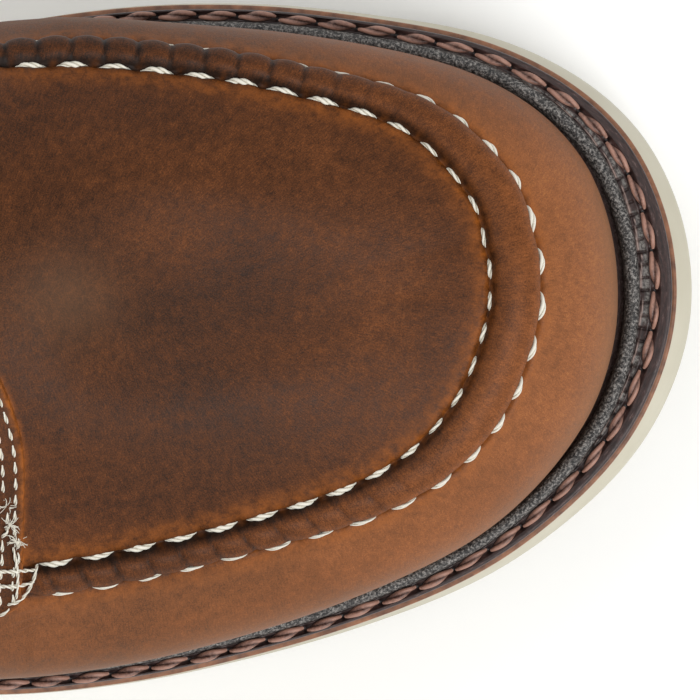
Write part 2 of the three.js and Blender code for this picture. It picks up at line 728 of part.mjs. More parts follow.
// One length of lace from an eyelet over the tongue to an eyelet on the other side
function laceTube(from, to) {
  const radius = laceDiameter / 2;
  const lift = radius + laceClearance;
  const start = from.point.clone().addScaledVector(from.normal, lift - eyeletSeatLift);
  const finish = to.point.clone().addScaledVector(to.normal, lift - eyeletSeatLift);
  const low = Math.min(from.a, 2 - from.a);
  const high = Math.min(to.a, 2 - to.a);
  const s = (low + high) / 2;
  const edgePlace = (end, share) => (end.a > 1 ? 2 - mix(low, high, share) : mix(low, high, share));
  const edgeA = lastOffset(edgePlace(from, laceEdgeShare), 1, quarterStep + lift);
  const edgeB = lastOffset(edgePlace(to, 1 - laceEdgeShare), 1, quarterStep + lift);
  const clear = eyeletRadius + 3 * gap;
  const leave = (end, edge) => end.clone().lerp(edge, clear / end.distanceTo(edge));
  const normal = lastNormal(s, 0.98).add(lastNormal(2 - s, 0.98)).normalize();
  const middle = tonguePoint(s, 0, 0).addScaledVector(normal, radius + laceClearance * 2);
  const chord = edgeA.clone().lerp(edgeB, 0.5);
  const rise = Math.max(middle.clone().sub(chord).dot(normal), 0.5);
  const path = new THREE.CatmullRomCurve3([
    leave(start, edgeA),
    edgeA,
    chord.addScaledVector(normal, rise),
    edgeB,
    leave(finish, edgeB),
  ]);
  const shape = new THREE.Shape();
  shape.absarc(0, 0, radius, 0, Math.PI * 2);
  const options = { extrudePath: path, steps: 10, curveSegments: 4, bevelEnabled: false };
  return new THREE.ExtrudeGeometry(shape, options);
}

// Joins closed geometries into one solid
function join(parts) {
  const solids = parts.map((part) => {
    part.deleteAttribute('normal');
    part.deleteAttribute('uv');
    const merged = mergeVertices(part, 1e-4);
    const mesh = new wasm.Mesh({
      numProp: 3,
      vertProperties: merged.attributes.position.array,
      triVerts: new Uint32Array(merged.index.array),
    });
    return new wasm.Manifold(mesh);
  });
  const whole = solids.reduce((a, b) => a.add(b)).getMesh();
  const result = new THREE.BufferGeometry();
  result.setAttribute('position', new THREE.BufferAttribute(whole.vertProperties, 3));
  result.setIndex(new THREE.BufferAttribute(whole.triVerts, 1));
  return result;
}

const material = (color, roughness, metalness = 0) =>
  new THREE.MeshStandardMaterial({ color, roughness, metalness });
const leather = material(0x7a4c30, 0.55);
const wedgeFoam = material(0xcfc9b6, 0.85);
const midsoleRubber = material(0x6e4434, 0.7);
const weltRubber = material(0x2c2726, 0.6);
const insoleBoard = material(0x9a7b5a, 0.85);
const brass = material(0x7d6848, 0.35, 0.9);
const laceCord = material(0x8a6a45, 0.8);

const boot = new THREE.Group();
function add(name, geometry, finish) {
  const mesh = new THREE.Mesh(geometry, finish);
  mesh.name = name;
  boot.add(mesh);
}

add('outsole', outsoleGeometry(), wedgeFoam);
add('midsole', midsoleGeometry(), midsoleRubber);
add('welt', weltGeometry(), weltRubber);
add('upper', upperGeometry(), leather);
add('insole', insoleGeometry(), insoleBoard);
add('tongue', tongueGeometry(), leather);

const pairs = eyeletPlaces().map((s) => ({ medial: eyeletSeat(s, 1), lateral: eyeletSeat(s, -1) }));
pairs.forEach((pair, i) => {
  for (const side of ['medial', 'lateral']) {
    const mesh = eyeletMesh(pair[side]);
    mesh.name = `eyelet_${side}_${i + 1}`;
    boot.add(mesh);
  }
});

const laceRuns = [laceTube(pairs[0].medial, pairs[0].lateral)];
for (let i = 0; i + 1 < pairs.length; i += 1) {
  laceRuns.push(laceTube(pairs[i].medial, pairs[i + 1].lateral));
  laceRuns.push(laceTube(pairs[i].lateral, pairs[i + 1].medial));
}
add('lace', join(laceRuns), laceCord);

export default boot;
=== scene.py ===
# %% [markdown]
# # A wedge sole work boot in numpy surfaces
# The boot is seen from straight above its toe, so the leather, the rolled moccasin seam and the
# stitched welt fill the picture. Every piece is a function of two parameters, worked out as whole
# arrays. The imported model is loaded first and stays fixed: each fine piece stands where it says.

# %% Load the frame
import math

import bpy
import bmesh
import numpy as np
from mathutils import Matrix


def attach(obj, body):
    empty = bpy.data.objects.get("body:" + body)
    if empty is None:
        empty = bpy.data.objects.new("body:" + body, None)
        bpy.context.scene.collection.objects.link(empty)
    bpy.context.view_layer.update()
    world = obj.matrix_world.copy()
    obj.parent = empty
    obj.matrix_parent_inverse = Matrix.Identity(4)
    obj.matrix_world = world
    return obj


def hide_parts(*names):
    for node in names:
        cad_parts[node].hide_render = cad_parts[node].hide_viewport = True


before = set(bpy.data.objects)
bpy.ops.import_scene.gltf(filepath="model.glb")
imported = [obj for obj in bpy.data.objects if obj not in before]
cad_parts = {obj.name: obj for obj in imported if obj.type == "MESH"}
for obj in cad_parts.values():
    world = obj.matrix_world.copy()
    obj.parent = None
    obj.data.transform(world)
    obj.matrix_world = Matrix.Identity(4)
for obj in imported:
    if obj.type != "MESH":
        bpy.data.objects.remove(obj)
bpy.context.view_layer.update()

# %% [markdown]
# The photograph looks straight down on the toe with a long lens. One millimetre of welt is 6.2
# pixels wide, so 700 pixels are 112.9 mm. A camera two metres up with a matching long lens keeps
# the same flat view, and perspective widens the leather at the top by only about one part in fifty.

# %% Camera over the toe
MM = 0.001
PIXELS_PER_MM = 6.2
FRAME_PIXELS = 700
VIEW_CENTRE = (98.6, -0.16)
VIEW_HEIGHT = 28.0
CAMERA_RISE = 2000.0


def make_camera():
    """A perspective camera whose width at the welt's height is the photograph's."""
    width = FRAME_PIXELS / PIXELS_PER_MM
    data = bpy.data.cameras.new("camera")
    data.sensor_width = 36.0
    data.lens = data.sensor_width * CAMERA_RISE / width
    data.clip_start = 0.05
    data.clip_end = 20.0
    camera = bpy.data.objects.new("camera", data)
    camera.location = (VIEW_CENTRE[0] * MM, VIEW_CENTRE[1] * MM, (VIEW_HEIGHT + CAMERA_RISE) * MM)
    bpy.context.scene.collection.objects.link(camera)
    bpy.context.scene.camera = camera
    print("lens", round(data.lens), "mm, view", round(width, 1), "mm wide")


make_camera()

# %% [markdown]
# The boot is drafted as a last maker does it: an outline of the sole, and then guides that run
# round the boot at several heights. Each table has a row for a section, and a smooth curve runs
# through the rows. Place 0 is the toe, 1 the heel; the inner side comes first and the outer side
# leads back from the heel to the toe at place 2.

# %% Sizes of the boot in millimetres
SOLE_LENGTH = 308.0
BALL_WIDTH = 112.6
HEEL_HEIGHT = 30.0
BALL_HEIGHT = 17.0
TOE_HEIGHT = 14.0
TOE_SPRING = 12.0
HEEL_SPRING = 1.5
TOE_LIP = 2.7
SIDE_LIP = 0.4
MIDSOLE = 3.0
WELT = 3.0
WELT_EDGE = 0.8
RIB_HEIGHT = 2.2
RIB_WIDTH = 2.5
RIB_CHANNEL = 1.6
WELT_LAP = 4.0
INSTEP_RISE = 59.0
SHAFT_RISE = 75.0
WALL = 2.4
QUARTER_STEP = 1.6
BACKSTAY_STEP = 1.2
INSOLE = 5.0
TONGUE = 3.0
TONGUE_CLEARANCE = 1.0
TONGUE_TIP = 10.0
GAP = 0.3
THROAT = 0.4
BACKSTAY = 0.945
EDGE_DROP = 0.07
SPRING_START = 0.66
HEEL_START = 0.04

# %% Tables of the sections
OUTLINE = np.array([  # along from the heel, inner side, outer side, as shares of the ball width
    (1.0, 0.084, 0.084), (0.993, 0.205, -0.03), (0.972, 0.315, -0.143), (0.94, 0.393, -0.236),
    (0.894, 0.451, -0.325), (0.83, 0.484, -0.398), (0.768, 0.4995, -0.447), (0.705, 0.4955, -0.483),
    (0.642, 0.4716, -0.5), (0.55, 0.41, -0.485), (0.44, 0.352, -0.421), (0.32, 0.355, -0.353),
    (0.2, 0.389, -0.313), (0.12, 0.391, -0.302), (0.05, 0.334, -0.245), (0.012, 0.21, -0.122),
    (0.0, 0.0444, 0.0444),
])
WEDGE = np.array([  # along, share of the heel's extra height
    (0.0, 1.0), (0.14, 1.0), (0.3, 0.8), (0.45, 0.42), (0.58, 0.1), (0.66, 0.0), (1.0, 0.0),
])
FEATHER = np.array([  # place, inset on the inner side, on the outer side
    (0.0, 0.114, 0.114), (0.12, 0.1, 0.094), (0.18, 0.085, 0.08), (0.25, 0.073, 0.071),
    (0.35, 0.064, 0.062), (0.5, 0.061, 0.06), (1.0, 0.058, 0.058),
])
SWELL = np.array([  # place, swell inside, swell outside, height share of the instep rise
    (0.0, 0.004, 0.004, 0.17), (0.12, 0.009, 0.009, 0.17), (0.18, 0.014, 0.016, 0.18),
    (0.25, 0.021, 0.02, 0.2), (0.35, 0.03, 0.026, 0.24), (0.41, 0.055, 0.029, 0.27),
    (0.5, 0.064, 0.031, 0.33), (0.6, 0.044, 0.028, 0.36), (0.72, 0.024, 0.024, 0.36),
    (1.0, 0.022, 0.022, 0.34),
])
SEAM = np.array([  # place, inset inside, inset outside, height share of the instep rise
    (0.0, 0.252, 0.252, 0.42), (0.06, 0.246, 0.247, 0.42), (0.12, 0.233, 0.231, 0.42),
    (0.18, 0.193, 0.194, 0.43), (0.25, 0.134, 0.175, 0.45), (0.3, 0.113, 0.176, 0.48),
    (0.35, 0.087, 0.175, 0.52), (0.4, 0.056, 0.17, 0.57), (0.5, 0.07, 0.16, 0.8),
    (0.6, 0.05, 0.115, 1.06), (0.7, 0.05, 0.062, 1.15), (0.82, 0.09, 0.088, 1.17),
    (1.0, 0.133, 0.133, 1.17),
])
CREST = np.array([  # place, along, instep share, shaft share, middle line, crown
    (0.0, 0.776, 0.655, 0.0, 0.08, 0.42), (0.1, 0.766, 0.67, 0.0, 0.08, 0.5),
    (0.2, 0.74, 0.715, 0.0, 0.08, 0.64), (0.3, 0.698, 0.805, 0.0, 0.08, 0.72),
    (0.36, 0.66, 0.92, 0.0, 0.075, 0.73), (0.4, 0.617, 1.0, 0.0, 0.071, 0.7),
    (0.44, 0.572, 1.0, 0.1, 0.066, 0.66), (0.48, 0.52, 1.0, 0.23, 0.06, 0.6),
    (0.52, 0.468, 1.0, 0.39, 0.053, 0.55), (0.56, 0.425, 1.0, 0.575, 0.048, 0.52),
    (0.6, 0.393, 1.0, 0.78, 0.044, 0.5), (0.63, 0.374, 1.0, 0.93, 0.044, 0.5),
    (0.65, 0.362, 1.0, 0.98, 0.044, 0.5), (0.67, 0.34, 1.0, 0.975, 0.044, 0.5),
    (0.7, 0.305, 1.0, 0.95, 0.044, 0.5), (0.77, 0.218, 1.0, 0.9, 0.044, 0.5),
    (0.85, 0.133, 1.0, 0.89, 0.044, 0.5), (0.92, 0.071, 1.0, 0.905, 0.044, 0.5),
    (0.97, 0.046, 1.0, 0.92, 0.044, 0.5), (1.0, 0.041, 1.0, 0.925, 0.044, 0.5),
])
OPENING = np.array([  # place, half of the opening
    (0.4, 0.133), (0.44, 0.15), (0.56, 0.154), (0.6, 0.163), (0.63, 0.178), (0.65, 0.203),
    (0.67, 0.237), (0.7, 0.284), (0.77, 0.342), (0.85, 0.311), (0.92, 0.209), (0.97, 0.089),
    (1.0, 0.0),
])
QUARTER = np.array([  # height up the wall, front edge of the inner quarter, of the outer quarter
    (0.0, 0.49, 0.475), (0.1, 0.472, 0.462), (0.2, 0.452, 0.447), (0.3, 0.433, 0.436),
    (0.37, 0.426, 0.43), (0.41, 0.4235, 0.42), (0.435, 0.423, 0.406), (0.46, 0.422, 0.4012),
    (0.5, 0.42, 0.4), (0.6, 0.414, 0.394), (0.75, 0.404, 0.385), (0.85, 0.4, 0.387),
    (1.0, 0.4, 0.4),
])

# %% Smooth curves through the tables


def hermite(u, width, first, first_slope, second, second_slope):
    """Cubic between two points with their slopes, while u runs from 0 to 1 over the width."""
    return (
        (1 + 2 * u) * (1 - u) ** 2 * first
        + u * (1 - u) ** 2 * width * first_slope
        + u * u * (3 - 2 * u) * second
        + u * u * (u - 1) * width * second_slope
    )


def smooth(keys, values, period=None):
    """Cubic curve through the rows: each slope is the mean of the chords beside it, weighted by
    the nearness of the row. A period wraps it round; without one both ends are mirrored flat."""
    keys = np.asarray(keys, float)
    values = np.asarray(values, float)
    if period:
        knots = np.concatenate([keys - period, keys, keys + period])
        heights = np.concatenate([values, values, values])
    else:
        knots = np.concatenate([2 * keys[0] - keys[:0:-1], keys, 2 * keys[-1] - keys[-2::-1]])
        heights = np.concatenate([values[:0:-1], values, values[-2::-1]])
    width = np.diff(knots)
    rate = np.diff(heights) / width
    slope = np.zeros(len(knots))
    slope[1:-1] = (rate[:-1] * width[1:] + rate[1:] * width[:-1]) / (width[1:] + width[:-1])

    def curve(x):
        x = np.asarray(x, float)
        x = keys[0] + np.mod(x - keys[0], period) if period else np.clip(x, keys[0], keys[-1])
        i = np.clip(np.searchsorted(knots, x, side="right") - 1, 1, len(knots) - 3)
        u = (x - knots[i]) / width[i]
        return hermite(u, width[i], heights[i], slope[i], heights[i + 1], slope[i + 1])

    return curve


def round_curve(places, inner, outer):
    """One curve round the boot from the inner column and the outer column of a table."""
    keys = np.concatenate([places, 2 - places[-2:0:-1]])
    return smooth(keys, np.concatenate([inner, outer[-2:0:-1]]), 2.0)


def mix(a, b, t):
    return a + (b - a) * t


def ease(x, low, high):
    """Smooth step from 0 at low to 1 at high."""
    t = np.clip((np.asarray(x, float) - low) / (high - low), 0, 1)
    return t * t * (3 - 2 * t)


outline_place = np.arccos(2 * OUTLINE[:, 0] - 1) / np.pi
side_of = round_curve(outline_place, OUTLINE[:, 1], OUTLINE[:, 2])
feather_of = round_curve(FEATHER[:, 0], FEATHER[:, 1], FEATHER[:, 2])
swell_of = round_curve(SWELL[:, 0], SWELL[:, 1], SWELL[:, 2])
swell_rise = smooth(SWELL[:, 0], SWELL[:, 3])
seam_of = round_curve(SEAM[:, 0], SEAM[:, 1], SEAM[:, 2])
seam_rise = smooth(SEAM[:, 0], SEAM[:, 3])
crest_along = smooth(CREST[:, 0], CREST[:, 1])
crest_instep = smooth(CREST[:, 0], CREST[:, 2])
crest_shaft = smooth(CREST[:, 0], CREST[:, 3])
crest_middle = smooth(CREST[:, 0], CREST[:, 4])
crest_crown = smooth(CREST[:, 0], CREST[:, 5])
opening_of = smooth(OPENING[:, 0], OPENING[:, 1])
wedge_of = smooth(WEDGE[:, 0], WEDGE[:, 1])
quarter_inner = smooth(QUARTER[:, 0], QUARTER[:, 1])
quarter_outer = smooth(QUARTER[:, 0], QUARTER[:, 2])


def outline(a, inset=0.0):
    """Point of the sole outline at place a, moved inwards by inset: x = L/2 cos(pi a), y from
    the table, and the normal from the difference of two points close by."""
    a = np.asarray(a, float)
    step = 1e-3
    x = SOLE_LENGTH / 2 * np.cos(np.pi * a)
    y = BALL_WIDTH * side_of(a)
    dx = SOLE_LENGTH / 2 * (np.cos(np.pi * (a + step)) - np.cos(np.pi * (a - step)))
    dy = BALL_WIDTH * (side_of(a + step) - side_of(a - step))
    length = np.hypot(dx, dy)
    return x - inset * dy / length, y + inset * dx / length


def along_of(x):
    return np.clip(x / SOLE_LENGTH + 0.5, 0, 1)


def floor_lift(x):
    """Toe spring and heel spring of the tread: squares of the distance past their starts."""
    along = along_of(x)
    toe = np.maximum(along - SPRING_START, 0) / (1 - SPRING_START)
    heel = np.maximum(HEEL_START - along, 0) / HEEL_START
    return TOE_SPRING * toe ** 2 + HEEL_SPRING * heel ** 2


def sole_top(x):
    along = along_of(x)
    toe = np.maximum(along - SPRING_START, 0) / (1 - SPRING_START)
    front = mix(BALL_HEIGHT, TOE_HEIGHT, toe) + TOE_SPRING * toe ** 2
    return front + (HEEL_HEIGHT - BALL_HEIGHT) * wedge_of(along)


def midsole_top(x):
    return sole_top(x) + GAP + MIDSOLE


def welt_bottom(x):
    return midsole_top(x) + GAP


def welt_top(x):
    return welt_bottom(x) + WELT


def toe_share(a):
    """1 at the toe, falling to 0 at the ball of the foot."""
    return np.maximum(np.cos(np.pi * np.asarray(a, float)), 0) ** 4


def midsole_inset(a):
    return mix(SIDE_LIP, TOE_LIP, toe_share(a))


def feather_inset(a):
    return feather_of(a) * BALL_WIDTH


a_test = np.array([0.0, 0.25, 1.0, 1.75])
print("outline at toe, inner ball, heel, outer ball:", np.round(outline(a_test), 1).T.tolist())

# %% [markdown]
# The upper is one smooth surface. At every place round the boot five guides give its section:
# the feather edge on the welt, the swell over it, the seam line (behind the throat, the hollow of
# the ankle), a middle point and the top. A cubic curve joins them. Over the toes both sides meet in
# the crest, so the vamp is closed; behind the throat the top is the facing's edge and the collar.

# %% The last
GUIDE_KEYS = np.array([0.0, 0.2, 0.5, 0.75, 1.0])


def place_of(a):
    """Distance from the toe, 0 to 1, on either side."""
    a = np.mod(a, 2.0)
    return np.where(a > 1, 2 - a, a)


def crest_point(s):
    """Length and height of the closed crest at a distance from the toe."""
    x = (crest_along(s) - 0.5) * SOLE_LENGTH
    return x, welt_top(x) + crest_instep(s) * INSTEP_RISE


def guides(a):
    """The five guide points at places a, with how open the top is and how steep the crest."""
    a = np.mod(np.asarray(a, float), 2.0)
    s = place_of(a)
    side = np.where(a > 1, -1.0, 1.0)
    inset = feather_inset(a)
    fx, fy = outline(a, inset)
    low = welt_top(fx) + GAP
    bx, by = outline(a, inset - swell_of(a) * BALL_WIDTH)
    sx, sy = outline(a, seam_of(a) * BALL_WIDTH)
    x = (crest_along(s) - 0.5) * SOLE_LENGTH
    y = crest_middle(s) * BALL_WIDTH + side * np.where(s > THROAT, opening_of(s) * BALL_WIDTH, 0)
    drop = np.where(s > THROAT, EDGE_DROP * (1 - ease(s, THROAT, THROAT + 0.06)), 0)
    z = welt_top(x) + (crest_instep(s) - drop) * INSTEP_RISE + crest_shaft(s) * SHAFT_RISE
    sz = low + seam_rise(s) * INSTEP_RISE
    points = np.stack([
        np.stack([fx, fy, low], -1),
        np.stack([bx, by, low + swell_rise(s) * INSTEP_RISE], -1),
        np.stack([sx, sy, sz], -1),
        np.stack([mix(sx, x, 0.5), mix(sy, y, 0.5), mix(sz, z, crest_crown(s))], -1),
        np.stack([x, y, z], -1),
    ], -2)
    x0, z0 = crest_point(s)
    x1, z1 = crest_point(s + 0.03)
    tilt = np.where(s > THROAT, 0, (z1 - z0) / (x1 - x0))
    return points, ease(s, THROAT, THROAT + 0.05), tilt


def last_point(a, h):
    """Point of the bare last: a cubic through the guides at height share h."""
    a, h = np.broadcast_arrays(np.asarray(a, float), np.asarray(h, float))
    points, opened, tilt = guides(a)
    span = np.diff(GUIDE_KEYS)
    rate = np.diff(points, axis=-2) / span[:, None]
    slope = np.zeros_like(points)
    middle = rate[..., :-1, :] * span[1:, None] + rate[..., 1:, :] * span[:-1, None]
    slope[..., 1:-1, :] = middle / (span[1:] + span[:-1])[:, None]
    slope[..., 0, :] = 1.5 * rate[..., 0, :] - 0.5 * slope[..., 1, :]
    slope[..., -1, :] = rate[..., -1, :]
    slope[..., -1, 2] = mix(tilt * rate[..., -1, 0], rate[..., -1, 2], opened)
    i = np.clip(np.searchsorted(GUIDE_KEYS, h, side="right") - 1, 0, len(GUIDE_KEYS) - 2)
    u = ((h - GUIDE_KEYS[i]) / span[i])[..., None]
    width = span[i][..., None]

    def pick(values, index):
        return np.take_along_axis(values, index[..., None, None], axis=-2)[..., 0, :]

    return hermite(u, width, pick(points, i), pick(slope, i), pick(points, i + 1), pick(slope, i + 1))


def unit(v):
    return v / np.maximum(np.linalg.norm(v, axis=-1, keepdims=True), 1e-12)


def arc_length(line):
    """Length along a line of points: the running sum of the steps, from 0 at the first point."""
    return np.concatenate([[0], np.cumsum(np.linalg.norm(np.diff(line, axis=0), axis=1))])


def last_normal(a, h):
    """Outward normal from differences close by; straight across from the closed crest."""
    a, h = np.broadcast_arrays(np.asarray(a, float), np.asarray(h, float))
    step = 1e-3
    turn = last_point(a + step, h) - last_point(a - step, h)
    rise = last_point(a, np.minimum(h + step, 1)) - last_point(a, np.maximum(h - step, 0))
    normal = unit(np.cross(turn, rise))
    s = place_of(a)
    ahead = last_point(np.maximum(s - step, 0), 1.0)
    behind = last_point(np.maximum(s - step, 0) + 2 * step, 1.0)
    line = ahead - behind
    up = unit(np.stack([-line[..., 2], np.zeros_like(s), line[..., 0]], -1))
    closed = (h > 1 - step) & (s <= THROAT)
    return np.where(closed[..., None], up, normal)


BRIDGE = 0.008
BRIDGE_TOP = 0.8


def vamp_surface(a, h, vamp=True):
    """Point and normal of the last. The section opens at the throat, and on the inner side the
    vamp reaches past it. Within BRIDGE of it both are mixed in proportion to the distance from
    those just before and just behind."""
    a, h = np.broadcast_arrays(np.asarray(a, float), np.asarray(h, float))
    near = vamp & (np.abs(a - THROAT) < BRIDGE) & (h < BRIDGE_TOP)
    low = np.where(near, THROAT - BRIDGE, a)
    high = np.where(near, THROAT + BRIDGE, a)
    share = np.clip((a - THROAT + BRIDGE) / (2 * BRIDGE), 0, 1)[..., None]
    point = mix(last_point(low, h), last_point(high, h), share)
    return point, unit(mix(last_normal(low, h), last_normal(high, h), share))


def lean(rounds, h):
    """Places of the columns: they lean so that the one at the throat follows the quarter's edge."""
    rounds, h = np.broadcast_arrays(np.asarray(rounds, float), np.asarray(h, float))
    b = place_of(rounds)
    edge = np.where(rounds <= 1, quarter_inner(h), quarter_outer(h))
    s = np.where(b < THROAT, b * edge / THROAT, mix(edge, 1, (b - THROAT) / (1 - THROAT)))
    return np.where(rounds <= 1, s, 2 - s)


toe_wall = last_point(0.0, np.array([0.0, 0.5, 1.0]))
print("toe section, feather, seam and crest:", np.round(toe_wall, 1).tolist())

# %% [markdown]
# Two small helpers put arrays into Blender. One joins quads and triangles into a mesh with its UV
# map and attributes; the other makes the faces of a grid. Distances are millimetres until then.

# %% Mesh helpers


def grid_faces(rows, columns, wrap_rows=False, wrap_columns=False, start=0):
    """Quads of a grid of points, stored row by row; either way may close on itself."""
    i = np.arange(rows if wrap_rows else rows - 1)
    j = np.arange(columns if wrap_columns else columns - 1)
    i, j = np.meshgrid(i, j, indexing="ij")
    i2 = (i + 1) % rows
    j2 = (j + 1) % columns
    quads = np.stack([i * columns + j, i2 * columns + j, i2 * columns + j2, i * columns + j2], -1)
    return quads.reshape(-1, 4) + start


def make_piece(name, points, faces, materials, uv=None, values=None, material_index=None, weld=0.0):
    """A smooth mesh object at the origin, from points in millimetres and faces of 4 corners, in
    which a triangle repeats its last corner. Values holds named numbers per point."""
    points = np.asarray(points, float).reshape(-1, 3)
    faces = np.asarray(faces, int)
    triangle = faces[:, 3] == faces[:, 2]
    counts = np.where(triangle, 3, 4)
    loops = faces.reshape(-1)[np.stack([np.ones_like(triangle)] * 3 + [~triangle], -1).reshape(-1)]
    mesh = bpy.data.meshes.new(name)
    mesh.vertices.add(len(points))
    mesh.vertices.foreach_set("co", (points * MM).reshape(-1))
    mesh.loops.add(len(loops))
    mesh.loops.foreach_set("vertex_index", loops)
    mesh.polygons.add(len(faces))
    mesh.polygons.foreach_set("loop_start", np.concatenate([[0], np.cumsum(counts)[:-1]]))
    mesh.polygons.foreach_set("use_smooth", np.ones(len(faces), bool))
    if material_index is not None:
        mesh.polygons.foreach_set("material_index", np.asarray(material_index, int))
    if uv is not None:
        layer = mesh.uv_layers.new(name="UVMap")
        layer.data.foreach_set("uv", (np.asarray(uv, float).reshape(-1, 2)[loops] * MM).reshape(-1))
    for key, numbers in (values or {}).items():
        attribute = mesh.attributes.new(key, "FLOAT", "POINT")
        attribute.data.foreach_set("value", np.asarray(numbers, float).reshape(-1))
    mesh.update(calc_edges=True)
    mesh.validate()
    if weld > 0:
        work = bmesh.new()
        work.from_mesh(mesh)
        bmesh.ops.remove_doubles(work, verts=work.verts, dist=weld * MM)
        work.to_mesh(mesh)
        work.free()
    for material in materials:
        mesh.materials.append(material)
    piece = bpy.data.objects.new(name, mesh)
    bpy.context.scene.collection.objects.link(piece)
    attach(piece, "root")
    print(name, len(mesh.polygons), "faces")
    return piece


# %% [markdown]
# A material starts from what the real surface is. One function adds a node with its settings and
# links, and colours are written as sRGB hex values and turned to linear light.

# %% Material helpers


def colour(hex_value):
    """sRGB hex to linear RGBA: below 0.04045 divide by 12.92, above it the 2.4 power curve."""
    parts = [int(hex_value[i:i + 2], 16) / 255 for i in (1, 3, 5)]
    linear = [c / 12.92 if c <= 0.04045 else ((c + 0.055) / 1.055) ** 2.4 for c in parts]
    return (*linear, 1.0)


def node(tree, kind, links=None, **settings):
    """Adds a node, sets its properties and its inputs' values, and links other sockets to it."""
    made = tree.nodes.new(kind)
    for key, value in settings.items():
        if hasattr(made, key):
            setattr(made, key, value)
        else:
            made.inputs[key.replace("_", " ").capitalize()].default_value = value
    for key, source in (links or {}).items():
        if isinstance(source, (int, float, tuple)):
            made.inputs[key].default_value = source
        else:
            tree.links.new(source, made.inputs[key])
    return made


def new_material(name, roughness, **settings):
    """A principled material and its tree, ready for colour and bump."""
    material = bpy.data.materials.new(name)
    material.use_nodes = True
    tree = material.node_tree
    shader = tree.nodes["Principled BSDF"]
    shader.inputs["Roughness"].default_value = roughness
    for key, value in settings.items():
        shader.inputs[key].default_value = value
    return material, tree, shader


def noise(tree, place, scale, detail=3.0, rough=0.55, distort=0.0):
    made = node(tree, "ShaderNodeTexNoise", {"Vector": place, "Scale": scale, "Detail": detail,
                                             "Roughness": rough, "Distortion": distort})
    return made.outputs["Fac"]


def ramp(tree, value, stops):
    """Colour ramp with (position, hex or grey number) stops."""
    made = node(tree, "ShaderNodeValToRGB", {"Fac": value})
    made.color_ramp.elements[0].position = stops[0][0]
    made.color_ramp.elements[1].position = stops[-1][0]
    for position, _ in stops[1:-1]:
        made.color_ramp.elements.new(position)
    for element, (_, value_at) in zip(made.color_ramp.elements, stops):
        grey = not isinstance(value_at, str)
        element.color = (value_at, value_at, value_at, 1.0) if grey else colour(value_at)
    return made.outputs["Color"]


def blend_colour(tree, factor, first, second, mode="MIX"):
    made = node(tree, "ShaderNodeMix", data_type="RGBA", blend_type=mode)
    for socket, value in ((made.inputs[0], factor), (made.inputs[6], first), (made.inputs[7], second)):
        if isinstance(value, (int, float)):
            socket.default_value = value
        elif isinstance(value, str):
            socket.default_value = colour(value)
        else:
            tree.links.new(value, socket)
    return made.outputs[2]


def sums(tree, operation, first, second=0.0, third=0.0):
    made = node(tree, "ShaderNodeMath", {0: first, 1: second, 2: third}, operation=operation)
    return made.outputs[0]


def bump(tree, height, distance, strength=1.0, under=None):
    """Bump of a height pattern; distance is the relief in millimetres."""
    links = {"Height": height, "Distance": distance * MM, "Strength": strength}
    if under is not None:
        links["Normal"] = under
    return node(tree, "ShaderNodeBump", links).outputs["Normal"]


def speckled(name, roughness, speckle, stops, grain=None, **settings):
    """A material whose colour is a ramp of one noise, with a finer noise as its bump."""
    material, tree, shader = new_material(name, roughness, **settings)
    place = object_place(tree)
    tree.links.new(ramp(tree, noise(tree, place, *speckle), stops), shader.inputs["Base Color"])
    if grain:
        scale, depth, strength = grain
        tree.links.new(bump(tree, noise(tree, place, scale), depth, strength), shader.inputs["Normal"])
    return material


def attribute(tree, name):
    return node(tree, "ShaderNodeAttribute", attribute_name=name).outputs["Fac"]


def object_place(tree):
    return node(tree, "ShaderNodeTexCoord").outputs["Object"]
